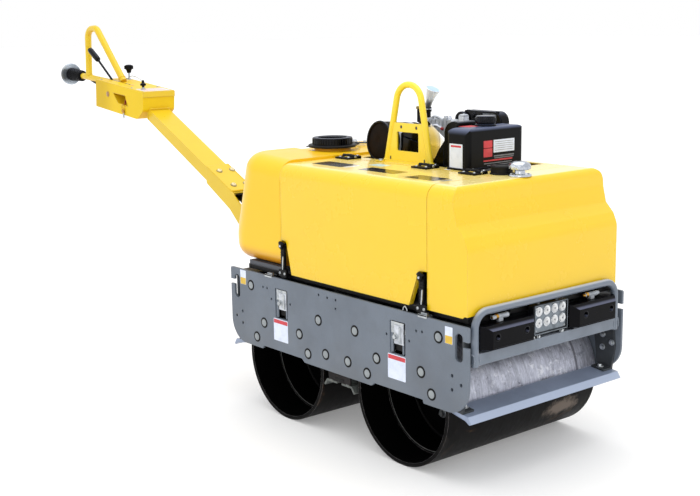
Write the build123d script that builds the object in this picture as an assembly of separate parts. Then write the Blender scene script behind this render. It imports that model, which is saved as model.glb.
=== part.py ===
from build123d import *
import os
from math import cos, sin, tan, radians, hypot, atan2, degrees, acos, sqrt

# Walk-behind double drum roller: two smooth steel drums under a plate frame,
# a pressed hood with two hinged doors, a moulded water tank and a drawbar
# with a control box.  Millimetres.  +X is the travel direction away from the
# drawbar, +Y the machine's left, +Z up, ground at Z = 0.
# All sizes below are measured from the mid point between the drums; SHIFT_X
# then moves the whole machine so that the origin is under the middle of its
# overall length.

# ---------------------------------------------------------------- drums
DRUM_D = 400.0
DRUM_W = 650.0
DRUM_WALL = 12.0
AXLE_X = 286.0
AXLE_Z = DRUM_D / 2
WEB_Y = 115.0            # outer face of the web discs
WEB_T = 10.0
STEP_Y = 215.0           # inner wall is thicker from here inwards
STEP_R = 180.0
HUB_R = 62.0
AXLE_R = 32.0

# ---------------------------------------------------------------- side plates
PLATE_Y = 331.0          # inner face
PLATE_T = 8.0
PLATE_X = 577.0
PLATE_TOP = 480.0
PLATE_LOW = 222.0
PLATE_ARCH = 233.0

# ---------------------------------------------------------------- upper body
BED_Z0, BED_Z1 = 482.0, 497.0
HOOD_Y = 323.0
DECK_Z = 857.0
SKIN = 4.0
DOOR_X0, DOOR_X1 = -296.0, 394.0
HOOD_X0, HOOD_X1 = 399.5, 556.0
HOOD_R = 42.0
TANK_X0, TANK_X1 = -632.0, -301.5
TANK_Z0, TANK_Z1 = 510.0, 880.0
TANK_FRONT_Z = 866.0     # top edge next to the doors
CAP_X, CAP_R = -425.0, 69.0
CAP_Z0, CAP_Z1 = 878.5, 912.5
HINGE_Z = 864.0
HINGE_Y_R = -62.0        # right door hinge line
LEFT_HINGE_Y, LEFT_HINGE_Z = 330.0, 789.5   # left door hinge line, on the side skin
LEFT_SKIRT_Z = 794.0     # lower edge of the fixed left shoulder
HINGE_X = (-258.0, 117.0, 324.0)
HINGE_L = 66.0
PIN_R = 4.0
PIN_GAP = 0.35
BAY = (-250.0, 310.0, -14.0, 262.0)    # engine bay opening in the deck: x0 x1 y0 y1

# ---------------------------------------------------------------- drawbar
PIVOT_X, PIVOT_Z = -700.0, 446.0
BEAM_HALF = 47.0
BEAM_T = 44.0
BEAM_SLOPE = -0.48       # top face: z = BEAM_SLOPE * x + BEAM_C
BEAM_C = 191.6
BEAM_X0, BEAM_X1 = -1606.0, -1000.0
BOX_HALF = 76.0
BOX_X0, BOX_X1 = -1992.0, -1584.0
BUTTON_X = -2372.0       # rear end of the stop button

REAR_END = BUTTON_X - 12.0
FRONT_END = 602.0
SHIFT_X = -(REAR_END + FRONT_END) / 2


# ---------------------------------------------------------------- helpers
def outline(rows):
    """Closed face in the XY plane from rows of x, y, corner radius."""
    n = len(rows)
    corner = []
    for i, (x, y, r) in enumerate(rows):
        ax, ay = rows[i - 1][0] - x, rows[i - 1][1] - y
        bx, by = rows[(i + 1) % n][0] - x, rows[(i + 1) % n][1] - y
        la, lb = hypot(ax, ay), hypot(bx, by)
        ax, ay, bx, by = ax / la, ay / la, bx / lb, by / lb
        if r <= 0:
            corner.append(((x, y), None, (x, y)))
            continue
        half = acos(max(-1.0, min(1.0, ax * bx + ay * by))) / 2
        t = r / tan(half)
        mx, my = ax + bx, ay + by
        lm = hypot(mx, my)
        mx, my = mx / lm, my / lm
        d = r / sin(half)
        corner.append(((x + ax * t, y + ay * t),
                       (x + mx * (d - r), y + my * (d - r)),
                       (x + bx * t, y + by * t)))
    edges = []
    for i in range(n):
        a, m, b = corner[i]
        if m is not None:
            edges.append(ThreePointArc(a, m, b))
        nxt = corner[(i + 1) % n][0]
        if hypot(nxt[0] - b[0], nxt[1] - b[1]) > 1e-6:
            edges.append(Line(b, nxt))
    return Face(Wire(edges))


def prism_y(rows, y0, y1):
    """Rows of x, z, radius, extruded from y0 to y1."""
    face = Location(Plane(origin=(0, y1, 0), x_dir=(1, 0, 0), z_dir=(0, -1, 0))) * outline(rows)
    return Solid.extrude(face, Vector(0, y0 - y1, 0))


def prism_x(rows, x0, x1):
    """Rows of y, z, radius, extruded from x0 to x1."""
    face = Location(Plane(origin=(x0, 0, 0), x_dir=(0, 1, 0), z_dir=(1, 0, 0))) * outline(rows)
    return Solid.extrude(face, Vector(x1 - x0, 0, 0))


def prism_z(rows, z0, z1):
    """Rows of x, y, radius, extruded from z0 to z1."""
    face = Location((0, 0, z0)) * outline(rows)
    return Solid.extrude(face, Vector(0, 0, z1 - z0))


def block(x0, x1, y0, y1, z0, z1):
    return Pos((x0 + x1) / 2, (y0 + y1) / 2, (z0 + z1) / 2) * Box(x1 - x0, y1 - y0, z1 - z0)


def rect(a0, a1, b0, b1, r=0.0):
    return [(a0, b0, r), (a1, b0, r), (a1, b1, r), (a0, b1, r)]


def cyl_y(x, z, r, y0, y1):
    return Pos(x, (y0 + y1) / 2, z) * Rot(90, 0, 0) * Cylinder(r, abs(y1 - y0))


def cyl_x(y, z, r, x0, x1):
    return Pos((x0 + x1) / 2, y, z) * Rot(0, 90, 0) * Cylinder(r, abs(x1 - x0))


def cyl_z(x, y, r, z0, z1):
    return Pos(x, y, (z0 + z1) / 2) * Cylinder(r, z1 - z0)


def bar(points, radius, d):
    """Round bar of diameter d along straight runs joined by arcs."""
    path = FilletPolyline(*points, radius=radius) if len(points) > 2 else Line(*points)
    start = Plane(origin=path @ 0, z_dir=path % 0)
    return sweep(start * Circle(d / 2), path=path)


def flip_x(shape):
    return mirror(shape, about=Plane.YZ)


def flip_y(shape):
    return mirror(shape, about=Plane.XZ)


NODES = {}


def keep(name, *shapes):
    NODES[name] = list(shapes)


# ---------------------------------------------------------------- side plates
# hole rows: x, z, diameter (both ends carry the same three-hole bolting group)
GROUP_PCD = 47.4
GROUP_CX, GROUP_MID = 525.0, 311.0
GROUP_X = GROUP_CX - GROUP_PCD / 4
GROUP_OUT = GROUP_CX + GROUP_PCD / 2
GROUP_UP = GROUP_MID + GROUP_PCD * 0.4330127
GROUP_LOW = GROUP_MID - GROUP_PCD * 0.4330127
HOLE_D = 11.0
SMALL_HOLES = [(GROUP_X, GROUP_UP, HOLE_D), (GROUP_OUT, GROUP_MID, HOLE_D), (GROUP_X, GROUP_LOW, HOLE_D),
               (-GROUP_X, GROUP_UP, HOLE_D), (-GROUP_OUT, GROUP_MID, HOLE_D), (-GROUP_X, GROUP_LOW, HOLE_D),
               (-388, 437, 9), (-365, 437, 9), (-341, 404, 9), (-238, 403, 9), (-86, 461, 9), (-43, 459, 9),
               (-1, 459, 9), (-2, 431, 9), (237, 398, 9), (336, 396, 9), (366, 432, 9), (391, 434, 9)]
WINDOW = (252.0, 320.0, 345.0, 445.0)
SLOT = (525.0, 556.0, 376.0, 458.0)
NECK = (421.0, 438.0)


def side_plate(side):
    rows = [(-PLATE_X, PLATE_TOP, 6), (-PLATE_X, PLATE_LOW, 80), (-397, PLATE_LOW, 4), (-393, PLATE_ARCH, 4),
            (-180, PLATE_ARCH, 6), (-166, PLATE_LOW, 6), (166, PLATE_LOW, 6), (180, PLATE_ARCH, 6),
            (393, PLATE_ARCH, 4), (397, PLATE_LOW, 4), (PLATE_X, PLATE_LOW, 80), (PLATE_X, PLATE_TOP, 6)]
    y0, y1 = (PLATE_Y, PLATE_Y + PLATE_T) if side > 0 else (-PLATE_Y - PLATE_T, -PLATE_Y)
    plate = prism_y(rows, y0, y1)
    cut = []
    for s in (-1, 1):
        a, b = sorted((s * WINDOW[0], s * WINDOW[1]))
        cut.append(prism_y(rect(a, b, WINDOW[2], WINDOW[3], 4), y0 - 1, y1 + 1))
        a, b = sorted((s * SLOT[0], s * SLOT[1]))
        cut.append(prism_y(rect(a, b, SLOT[2], SLOT[3], 15), y0 - 1, y1 + 1))
        a, b = sorted((s * (SLOT[1] - 8), s * (PLATE_X + 5)))
        cut.append(block(a, b, y0 - 1, y1 + 1, *NECK))
    for x, z, d in SMALL_HOLES:
        cut.append(cyl_y(x, z, d / 2, y0 - 1, y1 + 1))
    return plate - cut


keep("side_plate_right", side_plate(-1))
keep("side_plate_left", side_plate(1))

# ---------------------------------------------------------------- lower frame
# front and rear cross members: upright plate with a top flange; the centre one is a box beam
END_X0, END_X1 = 545.0, 553.0
end_rows = [(END_X0, 366, 0), (END_X1, 366, 0), (END_X1, 470, 0), (470, 470, 0), (470, 462, 0), (END_X0, 462, 0)]
front_member = prism_y(end_rows, -PLATE_Y, PLATE_Y)
rear_member = flip_x(front_member)
centre_beam = prism_y([(-52, 236, 4), (52, 236, 4), (52, 470, 4), (-52, 470, 4)], -PLATE_Y, PLATE_Y) \
    - prism_y([(-44, 244, 0), (44, 244, 0), (44, 462, 0), (-44, 462, 0)], -PLATE_Y - 1, PLATE_Y + 1)
keep("cross_members", front_member, rear_member, centre_beam)

# rubber mounts that carry the bed plate, rows of x
keep("rubber_mounts", *[cyl_z(x, y, 30, 470, BED_Z0) for x in (-470, 0, 510) for y in (-230, 230)])

# transport locks: a zinc block in each side plate window, held by the plate's inner face
locks = []
for sx in (-1, 1):
    for sy in (-1, 1):
        x = sx * 285
        a, b = sorted((sy * 325.6, sy * (PLATE_Y + PLATE_T - 1)))
        web = block(x - 27, x + 27, a, b, 420, 442)
        c, d = sorted((sy * 325.6, sy * PLATE_Y))
        back = block(x - 42, x + 42, c, d, 424, 462)
        face = block(x - 27, x + 27, a, b, 408, 442)
        locks.append(back + face + web)
keep("mount_locks", *locks)

# ---------------------------------------------------------------- drums
def drum_shell(x):
    outer = cyl_y(x, AXLE_Z, DRUM_D / 2, -DRUM_W / 2, DRUM_W / 2)
    wide = DRUM_D / 2 - DRUM_WALL
    inner = [cyl_y(x, AXLE_Z, STEP_R, -STEP_Y, STEP_Y)]
    for s in (-1, 1):
        a, b = sorted((s * STEP_Y, s * (DRUM_W / 2 + 1)))
        inner.append(cyl_y(x, AXLE_Z, wide, a, b))
    return outer - inner


def drum_web(x):
    out = []
    for s in (-1, 1):
        a, b = sorted((s * WEB_Y, s * (WEB_Y - WEB_T)))
        disc = cyl_y(x, AXLE_Z, STEP_R, a, b)
        a, b = sorted((s * (WEB_Y - WEB_T - 20), s * (WEB_Y + 22)))
        hub = cyl_y(x, AXLE_Z, HUB_R, a, b)
        a, b = sorted((s * (WEB_Y - WEB_T - 21), s * (WEB_Y + 23)))
        out.append(disc + hub - cyl_y(x, AXLE_Z, AXLE_R + 0.4, a, b))
    return out


def carrier(x):
    """Fixed axle carrier on each side plate: arm over the drum's rim, hanger plate and stub axle."""
    out = []
    for s in (-1, 1):
        def span(p, q):
            return sorted((s * p, s * q))
        arm = block(x - 60, x + 60, *span(PLATE_Y, 160), 264, 300)
        hanger = cyl_y(x, AXLE_Z, 50, *span(172, 160)) + block(x - 50, x + 50, *span(172, 160), AXLE_Z, 300)
        axle = cyl_y(x, AXLE_Z, AXLE_R, *span(165, WEB_Y - WEB_T - 26))
        out.append(arm + hanger + axle)
    return out


keep("front_drum_shell", drum_shell(AXLE_X))
keep("front_drum_webs", *drum_web(AXLE_X))
keep("rear_drum_shell", drum_shell(-AXLE_X))
keep("rear_drum_webs", *drum_web(-AXLE_X))
keep("axle_carriers", *carrier(AXLE_X), *carrier(-AXLE_X))

# ---------------------------------------------------------------- scrapers
SCRAPER_Y = 330.5
blade = prism_y([(493.5, 222, 0), (558, 209, 0), (575, 199, 0), (581, 202, 0), (568, 221.2, 0), (493.5, 230, 0)],
                -SCRAPER_Y, SCRAPER_Y)
keep("drum_scrapers", blade, flip_x(blade))
arms = []
for sy in (-1, 1):
    a, b = sorted((sy * PLATE_Y, sy * (PLATE_Y - 8)))
    arm = prism_y([(490, 236.2, 0), (548, 229.5, 0), (560, 300, 8), (552, 358, 6), (474, 358, 10), (484, 300, 6)], a, b)
    c, d = sorted((sy * PLATE_Y, sy * (PLATE_Y - 45)))
    foot = prism_y([(500, 229.3, 0), (548, 223.6, 0), (548, 229.7, 0), (500, 235.4, 0)], c, d)
    arms += [arm + foot, flip_x(arm + foot)]
keep("scraper_brackets", *arms)
inner = []
for sx in (-1, 1):
    inner.append(prism_y([(sx * 34, 236, 0), (sx * 46, 236, 0), (sx * 46, 191.5, 0), (sx * 61, 191.5, 0), (sx * 76, 172, 0),
                          (sx * 71, 168.5, 0), (sx * 58.5, 185.5, 0), (sx * 12, 185.5, 0), (sx * 12, 191.5, 0), (sx * 34, 191.5, 0)],
                         -SCRAPER_Y, SCRAPER_Y))
keep("inner_scrapers", *inner)

# ---------------------------------------------------------------- front bumper
TUBE_D = 22.0
TUBE_X, TUBE_Y, TUBE_Z0, TUBE_Z1 = 568.0, 305.0, 362.0, 515.0
hoop = bar([(TUBE_X, -TUBE_Y, TUBE_Z0), (TUBE_X, -TUBE_Y, TUBE_Z1), (TUBE_X, TUBE_Y, TUBE_Z1), (TUBE_X, TUBE_Y, TUBE_Z0)],
           45, TUBE_D)
rail = block(END_X1, 577, -TUBE_Y, TUBE_Y, 366, 399)
keep("front_bumper", hoop + rail)
bumpers = []
for s in (-1, 1):
    rows = [(END_X1, s * 80, 0), (END_X1, s * 292, 0), (576, s * 292, 0), (602, s * 268, 3), (602, s * 100, 3), (580, s * 80, 0)]
    solid = prism_z(rows, 409, 475)
    a, b = sorted((s * 70, s * 300))
    bevel = prism_y([(584, 476, 0), (604, 461, 0), (604, 476, 0)], a, b)
    holes = [cyl_x(s * yh, zh, 9, 588, 610) for yh, zh in ((248, 443), (129, 444))]
    bumpers.append(solid - bevel - holes)
keep("bumper_blocks", *bumpers)
light = prism_x(rect(-75, 75, 409, 499, 6), 556, 578) - prism_x(rect(-69, 69, 415, 493, 4), 574, 579)
stem = block(END_X1, 560, -20, 20, 426, 462)
keep("work_light", light + stem)
spray = []
for s in (-1, 1):
    a, b = sorted((s * 170, s * 232))
    spray.append(cyl_y(562, 489, 6, a, b) + block(556, 568, s * 200 - 8, s * 200 + 8, 475, 485))
keep("spray_fittings", *spray)

# ---------------------------------------------------------------- bed plate
BED_X0 = -505.0
bed = block(BED_X0, 548, -312, 312, BED_Z0, BED_Z1) + block(BED_X0, -306, -308, 308, BED_Z1 - 1, TANK_Z0)
keep("bed_plate", bed)

# ---------------------------------------------------------------- water tank
# side profile leans forward; the top has a filler recess that is open to the rear
tank = prism_y([(TANK_X1, TANK_Z0, 0), (TANK_X1, TANK_FRONT_Z, 0), (-555, TANK_Z1, 0), (TANK_X0, 600, 200), (TANK_X0 + 10, TANK_Z0, 0)],
               -HOOD_Y, HOOD_Y)
upright = [e for e in tank.edges() if abs(abs(e.center().Y) - HOOD_Y) < 1 and e.center().X < -550
           and abs(e.tangent_at(0.5).Z) > 0.5]
tank = tank.fillet(118, upright)
tank = tank.fillet(60, [e for e in tank.edges() if e.center().Z > TANK_FRONT_Z - 2 and e.center().X < TANK_X1 - 2])
tank = tank.fillet(54, [e for e in tank.edges() if abs(e.center().Z - TANK_Z0) < 0.5 and e.center().X < TANK_X1 - 2])
RECESS_Z = 866.0
recess = prism_x([(-88, RECESS_Z, 6), (88, RECESS_Z, 6), (106, TANK_Z1 + 2, 0), (-106, TANK_Z1 + 2, 0)], TANK_X0 - 1, CAP_X)
recess = recess + Pos(CAP_X, 0, (RECESS_Z + TANK_Z1 + 2) / 2) * Cone(88, 106, TANK_Z1 + 2 - RECESS_Z)
tank = tank - recess + cyl_z(CAP_X, 0, 62, RECESS_Z - 2, CAP_Z0)
keep("water_tank", tank)
ring = cyl_z(CAP_X, 0, CAP_R, CAP_Z0, CAP_Z1) - cyl_z(CAP_X, 0, 50, CAP_Z1 - 6, CAP_Z1 + 1)
tab = Pos(CAP_X, 0, CAP_Z0 + 3) * Rot(0, 0, 230) * Pos(78, 0, 0) * Box(26, 18, 3)
keep("tank_cap", ring + tab)

# ---------------------------------------------------------------- hood
FRONT_FACE = [(HOOD_X1, 497, 0), (HOOD_X1, 690, 60), (541, 722, 14), (512, 752, 12), (500, 800, 60), (496, DECK_Z, 22)]


def front_profile(inset):
    rows = [(HOOD_X0 - (5 if inset else 0), 497 - (5 if inset else 0), 0)]
    shift = inset
    face = [(x - shift, z - (shift if i == len(FRONT_FACE) - 1 else 0) - (5 if i == 0 and inset else 0), max(r - shift * 0.5, 0) if r else 0)
            for i, (x, z, r) in enumerate(FRONT_FACE)]
    rows += face
    rows.append((HOOD_X0 - (5 if inset else 0), DECK_Z - shift, 0))
    if not inset:
        rows[1:2] = [(538, 497, 0), (544, 503, 0), (HOOD_X1, 503, 0)]
    return rows


def body_section(inset):
    y = HOOD_Y - inset
    return [(-y, 490 if inset else 497, 0), (y, 490 if inset else 497, 0), (y, DECK_Z - inset, HOOD_R - inset), (-y, DECK_Z - inset, HOOD_R - inset)]


outer = prism_y(front_profile(0), -HOOD_Y, HOOD_Y) & prism_x(body_section(0), HOOD_X0 - 1, HOOD_X1 + 1)
core = prism_y(front_profile(SKIN), -HOOD_Y + SKIN, HOOD_Y - SKIN) & prism_x(body_section(SKIN), HOOD_X0 - 6, HOOD_X1 + 1)
keep("front_hood", outer - core)

# fixed deck with the engine bay opening and the left shoulder, and posts that carry it
deck_rows = [(-60, DECK_Z, 0), (HOOD_Y, DECK_Z, HOOD_R), (HOOD_Y, LEFT_SKIRT_Z, 0), (HOOD_Y - SKIN, LEFT_SKIRT_Z, 0),
             (HOOD_Y - SKIN, DECK_Z - SKIN, HOOD_R - SKIN), (-60, DECK_Z - SKIN, 0)]
deck = prism_x(deck_rows, TANK_X1 + 1.5, 398.0) - block(BAY[0], BAY[1], BAY[2], BAY[3], DECK_Z - 10, DECK_Z + 5)
for px in (-290, 350):
    for py in (-52, 245):
        deck = deck + block(px, px + 30, py, py + 20, BED_Z1, DECK_Z - SKIN)
keep("hood_deck", deck)


def latch_notches(side):
    a, b = sorted((side * (HOOD_Y + 5), side * (HOOD_Y - 30)))
    return [prism_y([(-310, 490, 0), (-246, 490, 0), (-273, 604, 8), (-310, 610, 0)], a, b),
            prism_y([(316, 490, 0), (410, 490, 0), (410, 607, 0), (360, 605, 8)], a, b)]


def knuckle(y, z, x0, x1):
    return cyl_x(y, z, 7, x0, x1)


# right door: side skin, rounded shoulder and top skin in one pressed shell, hinged on the deck
rows = [(-HOOD_Y, 497, 0), (-HOOD_Y, DECK_Z, HOOD_R), (HINGE_Y_R - 4, DECK_Z, 0), (HINGE_Y_R - 4, DECK_Z - SKIN, 0),
        (-HOOD_Y + SKIN, DECK_Z - SKIN, HOOD_R - SKIN), (-HOOD_Y + SKIN, 497, 0)]
right = prism_x(rows, DOOR_X0, DOOR_X1) - latch_notches(-1)
# left door: flat side panel, hinged under the fixed shoulder
left = block(DOOR_X0, DOOR_X1, HOOD_Y - SKIN, HOOD_Y, 497, LEFT_SKIRT_Z - 8) - latch_notches(1)
hinges = []
for x in HINGE_X:
    h0, h1 = x - HINGE_L / 2, x + HINGE_L / 2
    # on the deck: leaf boxes as y0, y1 each side of the pin
    yh, zh = HINGE_Y_R, HINGE_Z
    bore = cyl_x(yh, zh, PIN_R + PIN_GAP, x - 12, x + 12)
    right = right + block(h0, h1, yh - 33, yh - 8, DECK_Z, DECK_Z + 5)
    right = right + (block(x - 11, x + 11, yh - 12, yh, DECK_Z + 0.5, zh) + knuckle(yh, zh, x - 11, x + 11) - bore)
    part = block(h0, h1, yh + 8, yh + 24, DECK_Z, DECK_Z + 5) + cyl_x(yh, zh, PIN_R, x - 30, x + 30)
    for e in (-1, 1):
        x0, x1 = sorted((x + e * 12, x + e * 30))
        part = part + knuckle(yh, zh, x0, x1) + block(x0, x1, yh, yh + 12, DECK_Z + 0.5, zh)
    hinges.append(part)
    # on the side skin: leaf boxes as z0, z1 each side of the pin
    yh, zh = LEFT_HINGE_Y, LEFT_HINGE_Z
    bore = cyl_x(yh, zh, PIN_R + PIN_GAP, x - 12, x + 12)
    left = left + block(h0, h1, HOOD_Y, HOOD_Y + 5, zh - 30, zh - 8)
    left = left + (block(x - 11, x + 11, HOOD_Y + 0.5, yh, zh - 12, zh) + knuckle(yh, zh, x - 11, x + 11) - bore)
    part = block(h0, h1, HOOD_Y, HOOD_Y + 5, zh + 8, zh + 24) + cyl_x(yh, zh, PIN_R, x - 30, x + 30)
    for e in (-1, 1):
        x0, x1 = sorted((x + e * 12, x + e * 30))
        part = part + knuckle(yh, zh, x0, x1) + block(x0, x1, HOOD_Y + 0.5, yh, zh, zh + 12)
    hinges.append(part)
keep("right_door", right)
keep("left_door", left)
keep("door_hinges", *hinges)

# rubber draw latches, one in each notch: x of the strap, top z
latches = []
for s in (-1, 1):
    for x, lean in ((-288, 1), (376, 1)):
        a, b = sorted((s * 316, s * 330))
        foot = block(x - 9, x + 15, a, b, 483, 512)
        c, d = sorted((s * 319, s * 328))
        strap = block(x - 9, x + 9, c, d, 505, 596)
        e, f = sorted((s * 317, s * 334))
        pull = block(x - 9, x + 9, e, f, 584, 597)
        latches.append(foot + strap + pull)
keep("door_latches", *latches)

# ---------------------------------------------------------------- lifting eye
EYE_X, EYE_Y = -5.0, -26.0
EYE_BAR = 21.0
eye_path = [(EYE_X - 101, EYE_Y, DECK_Z + 6), (EYE_X - 43, EYE_Y, 1108), (EYE_X + 52, EYE_Y, 1108), (EYE_X + 101, EYE_Y, DECK_Z + 6)]
eye = bar(eye_path, 57, EYE_BAR)
web = prism_y([(EYE_X - 101, DECK_Z + 4, 0), (EYE_X + 101, DECK_Z + 4, 0), (EYE_X + 75, 986, 0), (EYE_X - 71, 986, 0)], EYE_Y - 5, EYE_Y + 1)
web = web - prism_y(rect(EYE_X - 50, EYE_X + 52, 896, 957, 3), EYE_Y - 6, EYE_Y + 6)
for hx in (-29, 42):
    web = web - cyl_y(EYE_X + hx, 973, 5.5, EYE_Y - 6, EYE_Y + 6)
foot = block(EYE_X - 118, EYE_X + 118, EYE_Y - 11, EYE_Y + 11, DECK_Z, DECK_Z + 6)
keep("lifting_eye", eye + web + foot)

# ---------------------------------------------------------------- engine
keep("engine_block", block(-140, 240, -130, 200, BED_Z1, 838))
# cylinder with its head casting reaching over towards the muffler, and a square cap beside the fuel tank
head = prism_y([(-97, 985, 0), (12, 985, 6), (12, 956, 0), (94, 956, 0), (94, 936, 0), (60, 936, 0), (60, 838, 0), (-14, 838, 0),
                (-14, 920, 0), (-97, 975, 0)], 150, 192)
for i in range(4):
    head = head + block(-20, 64, 146, 192, 846 + i * 18, 852 + i * 18)
head = head + block(58, 72, 150, 162, 950, 964) + block(53, 76, 142, 165, 960, 1005)
keep("cylinder_head", head)
# blower housing beside the fuel tank
keep("fan_housing", prism_y([(112, 838, 0), (175, 838, 0), (175, 996, 8), (112, 996, 40)], 20, 96))

FUEL = (180.0, 276.0, -40.0, 207.0, DECK_Z, 984.0)
fuel = prism_z(rect(FUEL[0], FUEL[1], FUEL[2], FUEL[3], 16), FUEL[4], FUEL[5])
fuel = fuel & prism_x([(FUEL[2], FUEL[4], 6), (FUEL[3], FUEL[4], 6), (FUEL[3], FUEL[5], 24), (FUEL[2], FUEL[5], 24)], FUEL[0] - 1, FUEL[1] + 1)
fuel = fuel & prism_y([(FUEL[0], FUEL[4], 6), (FUEL[1], FUEL[4], 6), (FUEL[1], FUEL[5], 12), (FUEL[0], FUEL[5], 28)], FUEL[2] - 1, FUEL[3] + 1)
keep("fuel_tank", fuel + cyl_z(225, 88, 26, FUEL[5] - 1, 993) + cyl_z(225, 88, 30, 993, 1014))
cleaner = prism_y([(15, 880, 8), (181, 880, 8), (181, 1016, 34), (15, 1016, 6)], 208, 242)
duct = block(62, 84, 192, 209, 900, 930) + cyl_y(10, 984, 26, 196, 225)
keep("air_cleaner", cleaner + duct)

# muffler: drum lying across the bay, turned a little and drooping to its far end, closed by a cone
MUF_AT, MUF_TURN, MUF_DROOP = (-180, 2, 916), -3.5, -5.5
MUF_L, MUF_R = 150.0, 65.0
SHOULDER_L, SHOULDER_R, CONE_L = 65.0, 61.0, 70.0
turn = Location(MUF_AT, (0, 0, MUF_TURN)) * Location((0, 0, 0), (MUF_DROOP - 90, 0, 0))
body = turn * (Pos(0, 0, MUF_L / 2) * Cylinder(MUF_R, MUF_L) - Pos(0, 0, 1.5) * Cylinder(MUF_R - 5, 3.01))
keep("muffler", body)
cone = turn * (Pos(0, 0, MUF_L + SHOULDER_L / 2) * Cone(MUF_R, SHOULDER_R, SHOULDER_L)
               + Pos(0, 0, MUF_L + SHOULDER_L + CONE_L / 2) * Cone(SHOULDER_R, 3, CONE_L))
keep("muffler_cone", cone)
PIPE_D, TAIL_D, NECK_D, NECK_L, TAIL_L = 20.0, 48.0, 22.0, 22.0, 46.0
PIPE_AT, TAIL_TILT = -147.0, 24.0
pipe = cyl_z(PIPE_AT, 192, PIPE_D / 2, 940, 1024)
tail = Pos(PIPE_AT, 192, 1018) * Rot(0, TAIL_TILT, 0) * (Pos(0, 0, NECK_L / 2) * Cylinder(NECK_D / 2, NECK_L)
                                                         + Pos(0, 0, NECK_L + TAIL_L / 2) * Cone(NECK_D / 2, TAIL_D / 2, TAIL_L))
keep("exhaust_pipe", pipe + tail + cyl_z(PIPE_AT, 192, PIPE_D / 2 + 4, 1004, 1018) - body - cone)

keep("oil_filler", cyl_z(456, -7, 33, DECK_Z, 863) + cyl_z(456, -7, 15, 863, 876) + cyl_z(456, -7, 31.5, 876, 899))
keep("deck_grommet", cyl_z(385, -8, 33, DECK_Z, 882))

# ---------------------------------------------------------------- drawbar hitch (fixed)
LUG_IN, LUG_OUT = 54.0, 66.0
PIV_R = 15.0
lugs = []
for s in (-1, 1):
    a, b = sorted((s * LUG_IN, s * LUG_OUT))
    lug = prism_y([(-553, 380, 0), (-553, 476, 0), (PIVOT_X - 36, PIVOT_Z + 34, 30), (PIVOT_X - 36, PIVOT_Z - 62, 10)], a, b)
    lugs.append(lug)
stop = block(-734, -714, -LUG_IN, LUG_IN, 386, 409)
back = block(-561, -553, -LUG_OUT - 20, LUG_OUT + 20, 372, 470)
pin = cyl_y(PIVOT_X, PIVOT_Z, PIV_R, -LUG_OUT - 8, LUG_OUT + 8)
hitch = back + lugs[0] + lugs[1] + stop + pin
keep("drawbar_hitch", hitch)


# ---------------------------------------------------------------- drawbar (folds up about the hitch pin)
def top_z(x):
    return BEAM_SLOPE * x + BEAM_C


neck_rows = [(-1160, top_z(-1160) + 3, 0), (-985, top_z(-985) + 3, 40), (-925, 622, 60), (-820, 520, 60), (PIVOT_X, PIVOT_Z + 36, 20),
             (PIVOT_X + 36, PIVOT_Z, 30), (PIVOT_X, PIVOT_Z - 36, 30), (-800, 418, 60), (-925, 533, 80), (-1000, 600, 60), (-1158, 686, 10)]
NECK_IN, NECK_OUT = BEAM_HALF + 0.0, BEAM_HALF + 6.0
cheeks = []
for s in (-1, 1):
    a, b = sorted((s * NECK_IN, s * NECK_OUT))
    cheeks.append(prism_y(neck_rows, a, b))
cap_rows = [(-1160, top_z(-1160) - 0.0, 0), (-1160, top_z(-1160) + 6, 0), (-990, top_z(-990) + 6, 0), (-990, top_z(-990), 0)]
cap = prism_y(cap_rows, -NECK_OUT, NECK_OUT)
boss = cyl_y(PIVOT_X, PIVOT_Z, 27, -NECK_OUT, NECK_OUT)
neck_part = cheeks[0] + cheeks[1] + cap + boss + block(-935, -915, -NECK_IN, NECK_IN, 560, 600)
neck_part = neck_part - cyl_y(PIVOT_X, PIVOT_Z, PIV_R + 0.4, -NECK_OUT - 1, NECK_OUT + 1)
keep("drawbar_neck", neck_part)

bx0, bx1 = BEAM_X0, BEAM_X1
beam_rows = [(bx0, top_z(bx0), 0), (bx1, top_z(bx1), 0), (bx1 - 18, top_z(bx1) - 50, 0), (bx0, top_z(bx0) - 49, 0)]
beam = prism_y(beam_rows, -BEAM_HALF, BEAM_HALF)
hollow = [(bx0 - 1, top_z(bx0 - 1) - 5, 0), (bx1 + 10, top_z(bx1 + 10) - 5, 0), (bx1 - 8, top_z(bx1) - 46, 0), (bx0 - 1, top_z(bx0 - 1) - 44, 0)]
keep("drawbar_beam", beam - prism_y(hollow, -BEAM_HALF + 5, BEAM_HALF - 5))

# control box, rising towards the rear
BOX_TILT = -0.1045


def box_z(x, z_front):
    return z_front + (x - BOX_X1) * BOX_TILT


box_rows = [(BOX_X1, 1029, 6), (BOX_X0, box_z(BOX_X0, 1029), 4), (BOX_X0 - 8, box_z(BOX_X0, 1029) - 119, 4), (-1640, 913, 30), (BOX_X1 - 8, 950, 20)]
cbox = prism_y(box_rows, -BOX_HALF, BOX_HALF)
cut_beam = prism_y([(bx0, top_z(bx0) + 0.0, 0), (bx1, top_z(bx1), 0), (bx1 - 18, top_z(bx1) - 50, 0), (bx0, top_z(bx0) - 49, 0)], -BEAM_HALF, BEAM_HALF)
pocket = prism_y([(-1841, 1018, 3), (-1737, 1009, 3), (-1716, 964, 3), (-1800, 974, 3)], -BOX_HALF - 1, -BOX_HALF + 50)
cbox = cbox - cut_beam - pocket

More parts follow.
